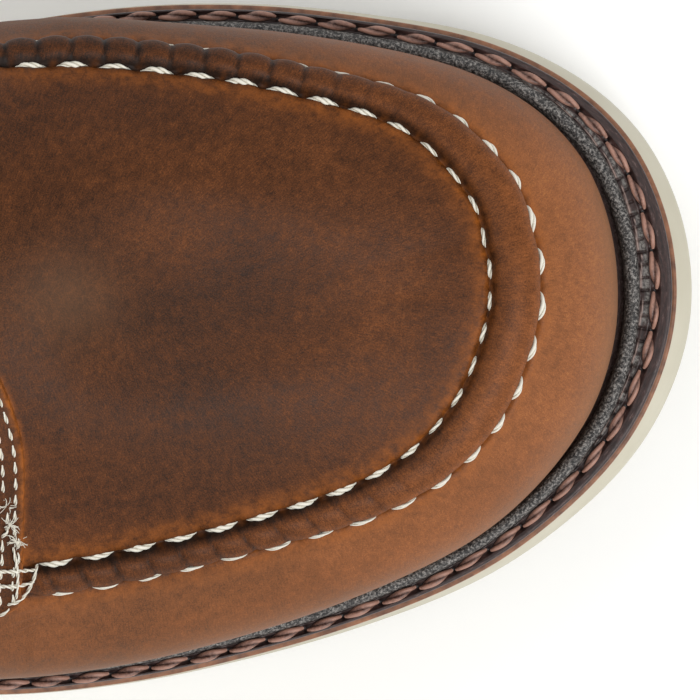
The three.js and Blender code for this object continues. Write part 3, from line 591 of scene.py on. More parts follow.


# %% [markdown]
# Oiled pull-up leather is waxed cowhide. Where it is stretched over the last or rubbed the oil
# moves away and it turns a lighter orange brown; in the middle of the plug it stays dark. The grain is
# fine, under half a millimetre, with soft cloudy tone patches some centimetres wide. The attribute
# tone carries the large light and dark places and painted shade in the creases, notches and stitch
# holes and along the foot of the upper; worn carries the rubbed edges, and a third attribute a grey
# tan, part of it a painted sheen on the plug.

# %% Oiled pull-up leather


def make_pull_up_leather():
    """Oiled pull-up leather: four noises shift the tone on a ramp from black brown to orange brown,
    rubbed places turn orange, and a grey tan is mixed in, part of it a painted sheen."""
    material, tree, shader = new_material("oiled_pull_up_leather", 0.5)
    shader.inputs["Specular IOR Level"].default_value = 0.15
    place = object_place(tree)
    uv = node(tree, "ShaderNodeUVMap", uv_map="UVMap").outputs["UV"]
    clouds = noise(tree, place, 34.0, 4.0, 0.6, 0.4)
    mottle = noise(tree, place, 520.0, 4.0, 0.7)
    fleck = noise(tree, place, 4600.0, 2.0, 0.75)
    drawn = node(tree, "ShaderNodeMapping", {"Vector": uv, "Scale": (1.0, 0.16, 1.0)}).outputs["Vector"]
    fibre = noise(tree, drawn, 4000.0, 3.0, 0.6)
    shade = attribute(tree, "tone")
    for pattern, amount in ((clouds, 0.42), (mottle, 0.42), (fleck, 0.75), (fibre, 0.4)):
        shade = sums(tree, "MULTIPLY_ADD", sums(tree, "SUBTRACT", pattern, 0.5), amount, shade)
    base = ramp(tree, shade, [(0.0, "#170c06"), (0.2, "#382011"), (0.4, "#573118"), (0.6, "#784522"),
                              (0.8, "#96582f"), (1.0, "#b0733e")])
    rubbed = sums(tree, "MULTIPLY", attribute(tree, "worn"), ramp(tree, mottle, [(0.35, 0.2), (0.62, 1.0)]))
    base = blend_colour(tree, rubbed, base, "#a05a22")
    bent = node(tree, "ShaderNodeMix", {0: 0.004}, data_type="VECTOR")
    tree.links.new(place, bent.inputs[4])
    swirl = node(tree, "ShaderNodeTexNoise", {"Vector": place, "Scale": 160.0})
    tree.links.new(swirl.outputs["Color"], bent.inputs[5])
    cracks = node(tree, "ShaderNodeTexVoronoi", {"Vector": bent.outputs[1], "Scale": 620.0},
                  feature="DISTANCE_TO_EDGE").outputs["Distance"]
    thin = ramp(tree, cracks, [(0.0, 1.0), (0.035, 0.0)])
    scuffed = ramp(tree, clouds, [(0.5, 0.0), (0.7, 0.2)])
    scuff = sums(tree, "MULTIPLY", thin, scuffed)
    base = blend_colour(tree, scuff, base, "#9c6236")
    # Grey tan: greyer low on the toe wall and over the wall, and a painted sheen on the plug.
    greying_and_sheen = sums(tree, "MULTIPLY", attribute(tree, "greying_and_sheen"), 0.75)
    base = blend_colour(tree, greying_and_sheen, base, "#87664e")
    tree.links.new(base, shader.inputs["Base Color"])
    pores = node(tree, "ShaderNodeTexVoronoi", {"Vector": place, "Scale": 1700.0}).outputs["Distance"]
    normal = bump(tree, clouds, 0.5, 0.3)
    normal = bump(tree, pores, 0.05, 0.35, normal)
    normal = bump(tree, fleck, 0.06, 0.55, normal)
    tree.links.new(normal, shader.inputs["Normal"])
    rough = sums(tree, "MULTIPLY_ADD", mottle, 0.28, 0.38)
    tree.links.new(rough, shader.inputs["Roughness"])
    return material


pull_up_leather = make_pull_up_leather()

# Undyed lining leather: smooth, pale tan and matt, with a fine pore.
lining_leather = speckled("lining_leather", 0.75, (60.0,), [(0.3, "#8d6c4b"), (0.7, "#a98560")],
                          (1800.0, 0.06, 0.5))

# %% [markdown]
# The upper's height over the last is worked out point by point. The moccasin seam is a roll: half
# an ellipse, with a sharp crease on each side where the stitches bite. Along the straight sides the
# gathered leather makes a pleat at each stitch, which fades out round the toe. Quarter and backstay
# are laid over with a rounded edge.

# %% Relief of the upper
SEAM_HEIGHT = 2.3
SEAM_HALF_TOE = 4.2
SEAM_SHIFT = 0.45
SEAM_LEAN = 0.9
SEAM_HALF_SIDE = 2.75
PLEAT_PITCH = 5.35
CREASE_DEPTH = 1.0
CREASE_WIDTH = 0.45
SIDE_STITCH = 6.9
TOE_STITCH = 6.15
TOE_TUCK = 1.4
PARED_UP = 0.1
ROUND_MM = 460.0
WALL_MM = 120.0
ROUND_PER_MM = 1 / ROUND_MM
STAY_STRETCH = 1.6


def seam_length_table():
    """Arc length of the seam from the toe along both sides, in millimetres, against place."""
    s = np.linspace(0, 1, 2001)
    tables = []
    for side in (s, 2 - s):
        tables.append(arc_length(last_point(side, 0.5)))
    return s, tables[0], tables[1]


seam_places, seam_inner_length, seam_outer_length = seam_length_table()
print("seam to the throat, inner and outer side:",
      round(float(np.interp(THROAT, seam_places, seam_inner_length))),
      round(float(np.interp(THROAT, seam_places, seam_outer_length))), "mm")


def seam_distance(a):
    """Arc length from the toe along the seam: positive inside, negative on the outer side."""
    a = np.mod(a, 2.0)
    s = place_of(a)
    inner = np.interp(s, seam_places, seam_inner_length)
    outer = np.interp(s, seam_places, seam_outer_length)
    return np.where(a > 1, -outer, inner)


def seam_place(distance):
    """Place on the seam at a signed arc length from the toe."""
    inner = np.interp(distance, seam_inner_length, seam_places)
    outer = 2 - np.interp(-distance, seam_outer_length, seam_places)
    return np.where(distance >= 0, inner, outer)


def seam_rates(a):
    """Millimetres of surface for one unit of h, just below and just above the seam."""
    middle = vamp_surface(a, 0.5)[0]
    below = np.linalg.norm(middle - vamp_surface(a, 0.45)[0], axis=-1) / 0.05
    above = np.linalg.norm(vamp_surface(a, 0.55)[0] - middle, axis=-1) / 0.05
    return below, above


def seam_shift(a):
    """How far the roll leans over the plug: round the toe, and along the inner side's end."""
    distance = seam_distance(a)
    return SEAM_SHIFT * toe_weight(distance) + SEAM_LEAN * ease(distance, 55, 95)


def seam_half(a):
    """Half width of the roll: wider round the toe, by the cosine of the place."""
    return mix(SEAM_HALF_SIDE, SEAM_HALF_TOE, ease(np.cos(np.pi * place_of(a)), 0.55, 0.95))


def pleat_strength(distance):
    """Pleats grow along the straight sides and all but vanish round the toe."""
    inner = ease(distance, 28, 62)
    outer = 0.8 * ease(-distance, 26, 60)
    return 0.06 + np.where(distance > 0, inner, outer)


def toe_weight(distance):
    """1 round the toe, 0 on the straight sides."""
    return 1 - ease(np.abs(distance), 24, 46)


def stitch_table():
    """Stitch number against arc length: the sum of steps over a pitch that is wider on the sides."""
    distance = np.linspace(-130, 130, 5201)
    pitch = mix(SIDE_STITCH, TOE_STITCH, toe_weight(distance))
    number = np.concatenate([[0], np.cumsum(np.diff(distance) / pitch[:-1])])
    return distance, number - np.interp(0, distance, number) - 0.28


stitch_distance, stitch_number = stitch_table()


def seam_relief(a, across):
    """Roll, creases, pleats and stitch holes at a distance across the seam, negative to the wall.
    The roll is a power of 1 - (across / half)^2, and the rest are narrow bells."""
    distance = seam_distance(a)
    strength = pleat_strength(distance)
    phase = (distance + 0.25 * across) / PLEAT_PITCH
    near = np.abs(phase - np.round(phase)) * PLEAT_PITCH
    half = seam_half(a)
    beyond = np.maximum(np.abs(across) - half, 0)
    notch = np.exp(-(near / 0.4) ** 2) * np.exp(-(beyond / 0.9) ** 2)
    swell = np.cos(2 * np.pi * phase)
    half = half * (1 - 0.02 * strength * swell)
    share = np.clip(1 - (across / half) ** 2, 0, None)
    roll = SEAM_HEIGHT * share ** mix(0.38, 0.5, toe_weight(distance))
    roll *= 1 - strength * (0.24 * notch + 0.015 * swell)
    crease = np.exp(-((np.abs(across) - half - 0.05) / CREASE_WIDTH) ** 2)
    pucker = -0.16 * strength * swell * np.exp(-((np.abs(across) - half) / 2.6) ** 2)
    number = np.interp(distance, stitch_distance, stitch_number)
    gap = (number - np.floor(number) - 0.84) * SIDE_STITCH
    hole = np.exp(-(gap / 0.62) ** 2) * np.exp(-((np.abs(across) - half - 0.55) / 0.6) ** 2)
    return roll - CREASE_DEPTH * crease + pucker - 0.3 * hole, share, crease, notch * strength, hole


# Soft folds where the ankle bends: start and end as (round, height), half width, depth in mm.
FOLDS = (
    ((0.52, 0.28), (0.60, 0.62), 6.0, 1.3), ((0.57, 0.30), (0.67, 0.55), 5.0, 1.0),
    ((1.48, 0.30), (1.40, 0.60), 6.0, 1.2), ((1.43, 0.28), (1.33, 0.52), 5.0, 0.9),
    ((0.88, 0.45), (0.97, 0.52), 5.0, 0.7), ((1.12, 0.42), (1.04, 0.5), 5.0, 0.7),
)


def fold_relief(rounds, h):
    """Sum of the folds: each is a bell across its line, with a small ridge on either side, and
    fades past its ends. Rounds and heights are scaled to ROUND_MM and WALL_MM."""
    total = np.zeros(np.broadcast(rounds, h).shape)
    for (r0, h0), (r1, h1), width, depth in FOLDS:
        ax = (r1 - r0) * ROUND_MM
        ay = (h1 - h0) * WALL_MM
        length = math.hypot(ax, ay)
        px = (rounds - r0) * ROUND_MM
        py = (h - h0) * WALL_MM
        along = (px * ax + py * ay) / length
        off = (px * ay - py * ax) / length
        past = np.maximum(np.abs(along - length / 2) - length / 2, 0)
        bell = (1 - (off / width) ** 2) * np.exp(-(off / width) ** 2)
        total -= depth * bell * np.exp(-(past / 9.0) ** 2)
    return total


def upper_relief(rounds, h, across, quarter_gap, backstay_gap):
    """Height over the last of the outer skin, with the tone and wear it brings."""
    a = lean(rounds, h)
    b = place_of(rounds)
    front = b < THROAT
    relief, share, crease, notch, hole = seam_relief(a, across)
    relief = relief - TOE_TUCK * toe_share(a) * np.exp(-(((h - 0.22) / 0.13) ** 2))
    lift = np.where(front, relief * ease(-quarter_gap, 0.0, 4.0), 0)
    pared = np.clip(h / PARED_UP, 0, 1)
    step = QUARTER_STEP * np.sqrt(np.clip(quarter_gap / 0.8, 0, 1))
    lift = lift + step * pared + BACKSTAY_STEP * np.sqrt(np.clip(backstay_gap / 0.8, 0, 1)) * pared
    lift = lift + fold_relief(rounds, h) * ease(quarter_gap, 4, 20) * ease(1 - h, 0.1, 0.25)
    return lift, share, crease, notch, hole


# %% The upper
FRONT_COLUMNS = 250
REAR_COLUMNS = 84
EDGE_OFFSETS = np.array([-2.0, -1.2, -0.6, -0.25, -0.05, 0.05, 0.15, 0.3, 0.5, 0.8, 1.3, 2.0])
WALL_ROWS = 26
PLUG_ROWS = 30
SEAM_ROWS = np.array([-1.7, -1.45, -1.28, -1.16, -1.08, -1.0, -0.93, -0.84, -0.7, -0.5, -0.25, 0.0,
                      0.25, 0.5, 0.7, 0.84, 0.93, 1.0, 1.08, 1.16, 1.28, 1.45, 1.7])


def upper_columns():
    """Places of the columns: even along the seam in front, crowded at the edges of the quarter and
    the backstay, and wider apart behind."""
    length = np.interp(THROAT, seam_places, seam_inner_length)
    even = np.interp(np.linspace(0, length, FRONT_COLUMNS), seam_inner_length, seam_places)
    edge = THROAT + EDGE_OFFSETS * ROUND_PER_MM
    stay = BACKSTAY + EDGE_OFFSETS[::2] * ROUND_PER_MM * STAY_STRETCH
    rear = np.linspace(edge[-1], 1, REAR_COLUMNS)
    rear = rear[(rear < stay[0] - 0.003) | (rear > stay[-1] + 0.003)]
    inner = np.unique(np.concatenate([even[even < edge[0] - 0.0008], edge, stay, rear]))
    return np.concatenate([inner, 2 - inner[-2:0:-1]])


upper_rounds = upper_columns()
print("columns round the upper:", len(upper_rounds))


def upper_heights(rounds):
    """Height shares of the rows in each column, with three bands: wall, seam and plug."""
    a = lean(rounds, 0.5)
    below, above = seam_rates(a)
    half = seam_half(a)
    shift = seam_shift(a)[:, None]
    offsets = SEAM_ROWS[None, :] * half[:, None] + shift
    band = 0.5 + np.where(offsets < 0, offsets / below[:, None], offsets / above[:, None])
    wall = np.linspace(0, 1, WALL_ROWS, endpoint=False)[None, :] * band[:, :1]
    plug = 1 - (1 - band[:, -1:]) * np.linspace(1, 0, PLUG_ROWS + 1)[None, 1:]
    h = np.concatenate([wall, band, plug], axis=1)
    across = np.where(h < 0.5, (h - 0.5) * below[:, None], (h - 0.5) * above[:, None]) - shift
    return h, across


def ease_crest(points, h, s):
    """Smooths the closed crest: the height over the plug is fitted by a polynomial of x and y of
    the fifth degree, which takes over from the sections towards the crest."""
    x = (points[..., 0] - 40) / 60
    y = (points[..., 1] - 8) / 40
    z = points[..., 2]
    basis = np.stack([x ** i * y ** j for i in range(6) for j in range(6 - i)], -1)
    inside = (h > 0.6) & (s < 0.39)
    fit = np.linalg.lstsq(basis[inside], z[inside], rcond=None)[0]
    take = ease(h, 0.66, 0.88) * (1 - ease(s, 0.3, 0.39))
    eased = points.copy()
    eased[..., 2] = mix(z, basis @ fit, take)
    print("crest eased by at most", round(float(np.abs(eased[..., 2] - z).max()), 2), "mm")
    return eased


def leather_tone(points, h, across, share, crease, notch, hole, quarter, quarter_gap):
    """Light and dark of the leather: dark middle of the plug, light toe wall, dark roll, and a
    burnished quarter. Places are given in the boot's own millimetres."""
    x, y = points[..., 0], points[..., 1]
    plug = ease(across, 0, 4)
    middle = np.exp(-((x - 52) / 46) ** 2 - ((y - 6) / 24) ** 2)
    inner_side = ease(y, 20, 50)
    wall = mix(0.52, 0.7, ease(x, 60, 125)) - 0.08 * inner_side
    rich = 0.1 * np.exp(-np.maximum(across, 0) / 4.0)
    front = mix(wall, 0.37 + rich, plug) - 0.1 * plug * middle
    front = front - mix(0.13, 0.03, plug) * np.clip(share, 0, 1) ** 0.5
    # Painted shade: darker in the creases beside the roll, in the notches and in the stitch holes.
    front = front - 0.5 * crease - 0.22 * notch - 0.25 * hole
    tone = mix(front, 0.53 - 0.26 * np.exp(-(np.maximum(quarter_gap, 0) / 9.0) ** 2), quarter)
    # Painted shade along the foot of the upper, where it meets the welt.
    return tone - 0.16 * np.exp(-(h / 0.045) ** 2)


def upper_grid(rounds):
    """Points of the outer skin: the last plus the relief along its normal, with the tone and wear
    that its leather has there, a grey tan and a painted sheen."""
    h, across = upper_heights(rounds)
    grid = np.broadcast_to(rounds[:, None], h.shape)
    a = lean(grid, h)
    b = place_of(grid)
    quarter_gap = (b - THROAT) / ROUND_PER_MM
    backstay_gap = (b - BACKSTAY) / ROUND_PER_MM / STAY_STRETCH
    lift, share, crease, notch, hole = upper_relief(grid, h, across, quarter_gap, backstay_gap)
    base, normal = vamp_surface(a, h, b < THROAT)
    base = ease_crest(base, h, place_of(a))
    points = base + normal * lift[..., None]
    front = (b < THROAT).astype(float)
    tone = leather_tone(points, h, across, share, crease, notch, hole, 1 - front, quarter_gap)
    # A grey tan, strongest low on the outer part of the toe wall and weak over the rest of the wall below the
    # seam.
    greying_and_sheen = 0.8 * front * (1 - ease(h, 0.08, 0.34)) * (1 - ease(points[..., 1], 15, 45))
    # Painted sheen on the plug: a grey patch mixed in, with the tone lowered under it.
    painted_sheen = np.exp(-((points[..., 0] - 54) / 8) ** 2 - ((points[..., 1] - 8) / 7) ** 2)
    greying_and_sheen = greying_and_sheen + front * (0.3 * painted_sheen * ease(across, 2, 6) + 0.2 * (1 - ease(across, -6, -3)))
    tone = tone - 0.06 * painted_sheen * front
    edge = np.exp(-(((quarter_gap - 0.5) / 0.9) ** 2))
    edge = edge + 0.7 * np.exp(-(((backstay_gap - 0.5) / 0.9) ** 2))
    rim = np.where(b > THROAT, np.exp(-((1 - h) * 40) ** 2), 0)
    beside = 0.5 * np.exp(-(((np.abs(across) - 5.2) / 1.5) ** 2)) + 0.6 * hole
    worn = np.clip(edge + rim + front * beside, 0, 1)
    uv = np.stack([seam_distance(a), across], -1)
    return points, base, normal, uv, tone, worn, greying_and_sheen


RIM_STEPS = 5


def make_upper():
    """Outer skin, inner skin and rims in one closed shell. The rim is half an ellipse from the
    outer skin over to the inner one."""
    rounds = upper_rounds
    outer, base, normal, uv, tone, worn, greying_and_sheen = upper_grid(rounds)
    columns, rows = outer.shape[:2]
    keep = np.unique(np.concatenate([np.arange(0, rows, 3), [rows - 1]]))
    inner = base[:, keep] - normal[:, keep] * WALL
    inner_rows = inner.shape[1]
    faces = [grid_faces(columns, rows, wrap_rows=True)]
    start = columns * rows
    inside = grid_faces(columns, inner_rows, wrap_rows=True, start=start)[:, ::-1]
    faces.append(inside)
    j = np.arange(columns)
    n = (j + 1) % columns
    foot = np.stack([j * rows, start + j * inner_rows, start + n * inner_rows, n * rows], -1)
    faces.append(foot)
    s = place_of(rounds)
    open_top = (s > THROAT) | (s[n] > THROAT)
    top_out = j * rows + rows - 1
    top_in = start + j * inner_rows + inner_rows - 1
    rim_start = start + columns * inner_rows
    turns = np.linspace(0, np.pi, RIM_STEPS + 2)[1:-1]
    middle = (outer[:, -1] + inner[:, -1]) / 2
    reach = (outer[:, -1] - inner[:, -1]) / 2
    rise = unit(last_point(lean(rounds, 1.0), 1.0) - last_point(lean(rounds, 0.985), 0.985))
    rise = rise * np.linalg.norm(reach, axis=-1, keepdims=True) * 0.8
    rim = middle[:, None] + reach[:, None] * np.cos(turns)[None, :, None]
    rim = rim + rise[:, None] * np.sin(turns)[None, :, None] * (s > THROAT)[:, None, None]
    rim_index = rim_start + j[:, None] * RIM_STEPS + np.arange(RIM_STEPS)[None]
    near = np.concatenate([top_out[:, None], rim_index, top_in[:, None]], 1)
    far = near[n]
    k = np.arange(near.shape[1] - 1)
    rim_faces = np.stack([near[:, k], far[:, k], far[:, k + 1], near[:, k + 1]], -1)
    faces.append(rim_faces[open_top].reshape(-1, 4))
    points = np.concatenate([outer.reshape(-1, 3), inner.reshape(-1, 3), rim.reshape(-1, 3)])
    quiet = np.zeros(inner.shape[0] * inner.shape[1])
    rim_count = columns * RIM_STEPS
    tone = np.concatenate([tone.reshape(-1), quiet + 0.4, np.full(rim_count, 0.42)])
    worn = np.concatenate([worn.reshape(-1), quiet, np.full(rim_count, 0.75)])
    greying_and_sheen = np.concatenate([greying_and_sheen.reshape(-1), np.zeros(len(points) - columns * rows)])
    uv = np.concatenate([uv.reshape(-1, 2), np.zeros((len(points) - columns * rows, 2))])
    counts = [len(part) for part in faces]
    index = np.repeat([0, 1, 0, 0], counts)
    piece = make_piece("upper_leather", points, np.concatenate(faces), [pull_up_leather, lining_leather],
                       uv, {"tone": tone, "worn": worn, "greying_and_sheen": greying_and_sheen}, index, weld=0.002)
    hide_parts("upper")


make_upper()

# %% [markdown]
# The sole under the upper is three layers with the same outline: the pale wedge, a thin reddish
# midsole and the dark storm welt. Each is a set of loops round the outline, closed by a cap.

# %% Materials of the sole


def make_storm_welt():
    """Storm welt: black-brown waxed strip. The attribute rib is 1 on the rib, pressed with a coarse
    grain whose crowns carry painted grey glints, flap a pale raised sliver beside it, patch the grey
    pressed blocks and pit the needle holes, darkened with painted shade. UV runs along the welt and across
    it."""
    material, tree, shader = new_material("storm_welt", 0.42)
    place = object_place(tree)
    uv = node(tree, "ShaderNodeUVMap", uv_map="UVMap").outputs["UV"]
    drawn = node(tree, "ShaderNodeMapping", {"Vector": uv, "Scale": (0.22, 1.0, 1.0)}).outputs["Vector"]
    streak = noise(tree, drawn, 2600.0, 3.0, 0.7)
    strip = ramp(tree, streak, [(0.35, "#1f1413"), (0.6, "#3d2926"), (0.78, "#7d6a66")])
    grit = noise(tree, place, 2300.0, 3.0, 0.75)
    # The rib's dark grain with painted grey glints on its crowns.
    rib_grain_and_glints = ramp(tree, grit, [(0.4, "#100f10"), (0.5, "#4b4846"), (0.66, "#a19d98")])
    base = blend_colour(tree, attribute(tree, "rib"), strip, rib_grain_and_glints)
    patch = ramp(tree, grit, [(0.38, "#2b2423"), (0.6, "#85807b")])
    base = blend_colour(tree, attribute(tree, "patch"), base, patch)
    base = blend_colour(tree, attribute(tree, "flap"), base, "#a68f86")
    # Painted shade in the needle holes.
    base = blend_colour(tree, attribute(tree, "pit"), base, "#1a0c0a")
    tree.links.new(base, shader.inputs["Base Color"])
    relief = sums(tree, "MULTIPLY", grit, sums(tree, "MULTIPLY_ADD", attribute(tree, "rib"), 1.0, 0.3))
    tree.links.new(bump(tree, relief, 0.3, 0.8), shader.inputs["Normal"])
    return material


# Blown wedge rubber, moulded and sanded: matt, cream, with a fine open pore.
wedge_rubber = speckled("blown_wedge_rubber", 0.8, (45.0,), [(0.3, "#beb8a4"), (0.7, "#ccc7b5")],
                        (1500.0, 0.08, 0.5))

# Waxed midsole edge: reddish brown and a little polished, with grime and a coarse grain.
midsole_edge = speckled("waxed_midsole_edge", 0.5, (500.0, 4.0), [(0.3, "#63402f"), (0.7, "#a06c4c")],
                        (900.0, 0.1, 0.6))
storm_welt = make_storm_welt()

# %% Layers of the sole
ROUND_COLUMNS = 620
CAP_STEPS = 6


def ring_places(count, crowd=0.22):
    """Places round the outline, closer together in front, where the view looks."""
    t = np.linspace(0, 1, count // 2 + 1)
    s = t - crowd * np.sin(np.pi * t) / np.pi
    return np.concatenate([s, 2 - s[-2:0:-1]])


def layer_points(places, rims, top, bottom):
    """Loops of a layer: each rim gives its inset at every place and how far down it lies."""
    loops = []
    for down, inset in rims:
        x, y = outline(places, inset)
        loops.append(np.stack([x, y, mix(top(x), bottom(x), down)], -1))
    return np.stack(loops, 1)


def cap_faces(columns, row, rows, across, start, flip):
    """Quads across the layer between the loop's two sides, with inner points from start on."""
    half = columns // 2
    left = np.arange(0, half + 1)
    right = (columns - left) % columns
    inner = start + (left[1:-1, None] - 1) * (across - 1) + np.arange(across - 1)[None]
    rungs = np.concatenate([right[1:-1, None] * rows + row, inner, left[1:-1, None] * rows + row], 1)
    quads = np.stack([rungs[:-1, :-1], rungs[:-1, 1:], rungs[1:, 1:], rungs[1:, :-1]], -1).reshape(-1, 4)
    toe = np.stack([rungs[0, :-1], np.full(across, row), rungs[0, 1:], rungs[0, 1:]], -1)
    heel = np.stack([rungs[-1, :-1], rungs[-1, 1:], np.full(across, half * rows + row),
                     np.full(across, half * rows + row)], -1)
    faces = np.concatenate([quads, toe, heel])
    if flip:
        faces = np.where((faces[:, 2:3] == faces[:, 3:4]), faces[:, [1, 0, 2, 2]], faces[:, ::-1])
    return faces


def make_layer(name, node_name, rims, top, bottom, material):
    """Loops round the outline, closed by a cap above and one below that follow the two heights."""
    across = CAP_STEPS
    loops = layer_points(ring_places(ROUND_COLUMNS), rims, top, bottom)
    columns, rows = loops.shape[:2]
    half = columns // 2
    left = np.arange(1, half)
    right = columns - left
    t = np.linspace(0, 1, across + 1)[None, 1:-1, None]
    parts = [loops.reshape(-1, 3)]
    faces = [grid_faces(columns, rows, wrap_rows=True)[:, ::-1]]
    start = columns * rows
    for row, height, flip in ((0, top, False), (rows - 1, bottom, True)):
        inner = mix(loops[right, row][:, None], loops[left, row][:, None], t)
        inner[..., 2] = height(inner[..., 0])
        faces.append(cap_faces(columns, row, rows, across, start, flip))
        parts.append(inner.reshape(-1, 3))
        start += inner.shape[0] * inner.shape[1]
    piece = make_piece(name, np.concatenate(parts), np.concatenate(faces), [material])
    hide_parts(node_name)


def wedge_rims(places):
    """The wedge's side: it flares to the edge, has a line groove low down and a rounded foot."""
    lip = midsole_inset(places)
    flat = np.zeros_like(places)
    return [(0.0, lip + 0.5), (0.015, lip + 0.15), (0.04, lip), (0.15, lip * 0.7), (0.3, lip * 0.35),
            (0.45, lip * 0.12), (0.6, flat), (0.74, flat), (0.755, flat + 0.3), (0.77, flat + 0.9),
            (0.82, flat + 0.9), (0.835, flat + 0.3), (0.85, flat), (0.93, flat), (0.97, flat + 0.7),
            (1.0, flat + 2.0)]


def midsole_rims(places):
    """The midsole's side, with both edges broken."""
    lip = midsole_inset(places)
    return [(0.0, lip + 0.45), (0.04, lip + 0.15), (0.12, lip), (0.88, lip), (0.96, lip + 0.15),
            (1.0, lip + 0.45)]


layer_places = ring_places(ROUND_COLUMNS)
make_layer("wedge_sole", "outsole", wedge_rims(layer_places),
           sole_top, floor_lift, wedge_rubber)
make_layer("midsole_layer", "midsole", midsole_rims(layer_places),
           midsole_top, lambda x: sole_top(x) + 0.02, midsole_edge)


def insole_rims(places):
    """The insole's side, inside the upper's lasted edge."""
    inset = feather_inset(places) + WELT_LAP + 0.4
    return [(0.0, inset + 0.8), (0.08, inset + 0.25), (0.25, inset), (1.0, inset)]


make_layer("insole_leather", "insole", insole_rims(layer_places),
           lambda x: midsole_top(x) + GAP + INSOLE, lambda x: midsole_top(x) + GAP,
           lining_leather)

# %% [markdown]
# The storm welt is a strip with a raised rib against the upper. Between rib and thread a wheel has
# pressed the wax into small blocks, one for each stitch. Its section is a list of points across,
# carried round the outline, and the blocks are a wave along it.

# %% Storm welt
WELT_PITCH = 6.5
THREAD_RADIUS = 0.84
WELT_COLUMNS = 1900


def ring_length(places, inset):
    """Arc length round the outline, from the toe along the inner side."""
    x, y = outline(places, inset)
    step = np.hypot(np.diff(x, append=x[0]), np.diff(y, append=y[0]))
    return np.concatenate([[0], np.cumsum(step)])


def thread_inset(a):
    """Where the thread lies: beside the edge at the sides, farther in at the toe."""
    return midsole_inset(a) + WELT_EDGE + mix(0.12, 1.9, toe_share(a)) + THREAD_RADIUS


def welt_stitch_table():
    """Stitch number round the welt against place."""
    places = np.linspace(0, 2, 8001)
    length = ring_length(places[:-1], thread_inset(places[:-1]))
    count = int(round(length[-1] / WELT_PITCH))
    return places, length / length[-1] * count, count, length[-1] / count


welt_places, welt_numbers, welt_count, welt_pitch = welt_stitch_table()
print(welt_count, "welt stitches,", round(welt_pitch, 2), "mm apart")


def welt_section(a):
    """Section of the welt at places a, from the outer foot over the top to the inner foot: insets,
    heights, and how far each point belongs to the rib, thread channel and groove."""
    edge = midsole_inset(a) + WELT_EDGE
    rib_inner = feather_inset(a) - RIB_CHANNEL
    thread = thread_inset(a)
    rib_outer = np.maximum(rib_inner - RIB_WIDTH, thread + THREAD_RADIUS + 0.05)
    rows = []

    def put(inset, height, rib=0.0, channel=0.0, across=-1.0):
        rows.append([inset, height + 0 * a, rib + 0 * a, channel + 0 * a, across + 0 * a])

    put(edge + 0.2, -GAP * 0.9)
    for height in (0.2, 1.2, 2.3):
        put(edge, height)
    put(edge + 0.12, 2.8)
    put(edge + 0.4, WELT)
    for t in (0.3, 0.65, 0.9):
        put(mix(edge + 0.4, thread - THREAD_RADIUS, t), WELT)
    for t in np.linspace(-1, 1, 7):
        put(thread + t * THREAD_RADIUS, WELT - 0.5 * (1 - t * t), 0.0, 1 - t * t)
    for t in np.linspace(0.1, 0.95, 8):
        put(mix(thread + THREAD_RADIUS, rib_outer, t), WELT - 0.1, 0.0, 0.0, t)
    for t in np.linspace(0, np.pi, 13):
        rib = 1.0 if 0.1 < t < 3.0 else 0.4
        put(mix(rib_outer, rib_inner, 0.5 - 0.5 * np.cos(t)), WELT + RIB_HEIGHT * np.sin(t) ** 0.7, rib)
    put(rib_inner + 0.7, WELT)
    put(feather_inset(a) + WELT_LAP, WELT)
    put(feather_inset(a) + WELT_LAP, 0.0)
    return np.moveaxis(np.array(rows), 0, -1)


def make_welt():
    """The section swept round. The flap is a pale edge that slants across the groove once for each
    stitch, the patches lie outside it, cut by three tooth marks a stitch, and the pits are where
    the needle went in, sunk and darkened with painted shade."""
    places = ring_places(WELT_COLUMNS, 0.5)
    inset, height, rib, channel, across = welt_section(places)
    number = np.interp(places, welt_places, welt_numbers)[:, None]
    part = number - np.floor(number)
    groove = (across > 0).astype(float)
    wave = 0.03 * np.sin(number * 5.3) + 0.03 * np.sin(number * 2.1 + 1)
    slant = 0.88 - 0.34 * np.abs(part - 0.1) + wave
    flap = groove * np.exp(-((across - slant) / (0.13 * (1.05 - part))) ** 2) * ease(part, 0.02, 0.1)
    tooth = np.abs(part * 3 - np.round(part * 3)) / 3 * welt_pitch
    mark = np.exp(-(tooth / 0.26) ** 2)
    patch = groove * ease(slant - across, 0.1, 0.25) * ease(across, 0.02, 0.12) * (1 - 0.9 * mark)
    patch = patch * ease(np.sin(number * 1.7) + np.sin(number * 3.9 + 2) + 1.2, -0.2, 0.8)
    # Pit: painted shade in the needle holes, strongest in the thread channel.
    hole = np.abs(number - np.round(number)) * welt_pitch
    pit = np.exp(-(hole / 0.5) ** 2) * np.clip(channel + 0.3 * (1 - rib), 0, 1)
    height = height + 0.35 * flap - 0.4 * groove * mark * (1 - flap) - 0.6 * pit * channel
    x, y = outline(places[:, None], inset)
    points = np.stack([x, y, welt_bottom(x) + height], -1)
    columns, rows = height.shape
    faces = grid_faces(columns, rows, wrap_rows=True, wrap_columns=True)
    uv = np.stack([np.broadcast_to(number * welt_pitch, height.shape), inset], -1)
    values = {"rib": rib, "flap": np.clip(flap, 0, 1), "patch": patch, "pit": np.clip(pit, 0, 1)}
    piece = make_piece("storm_welt_strip", points, faces, [storm_welt], uv, values)
    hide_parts("welt")


make_welt()

# %% [markdown]
# Thick waxed thread is twisted from two or three plies. A stitch rises out of its hole, lies along
# the leather and dips into the next hole, so its path is an arc. The plies wind round the path, and
# all stitches of one row are worked out at once.

# %% Thread


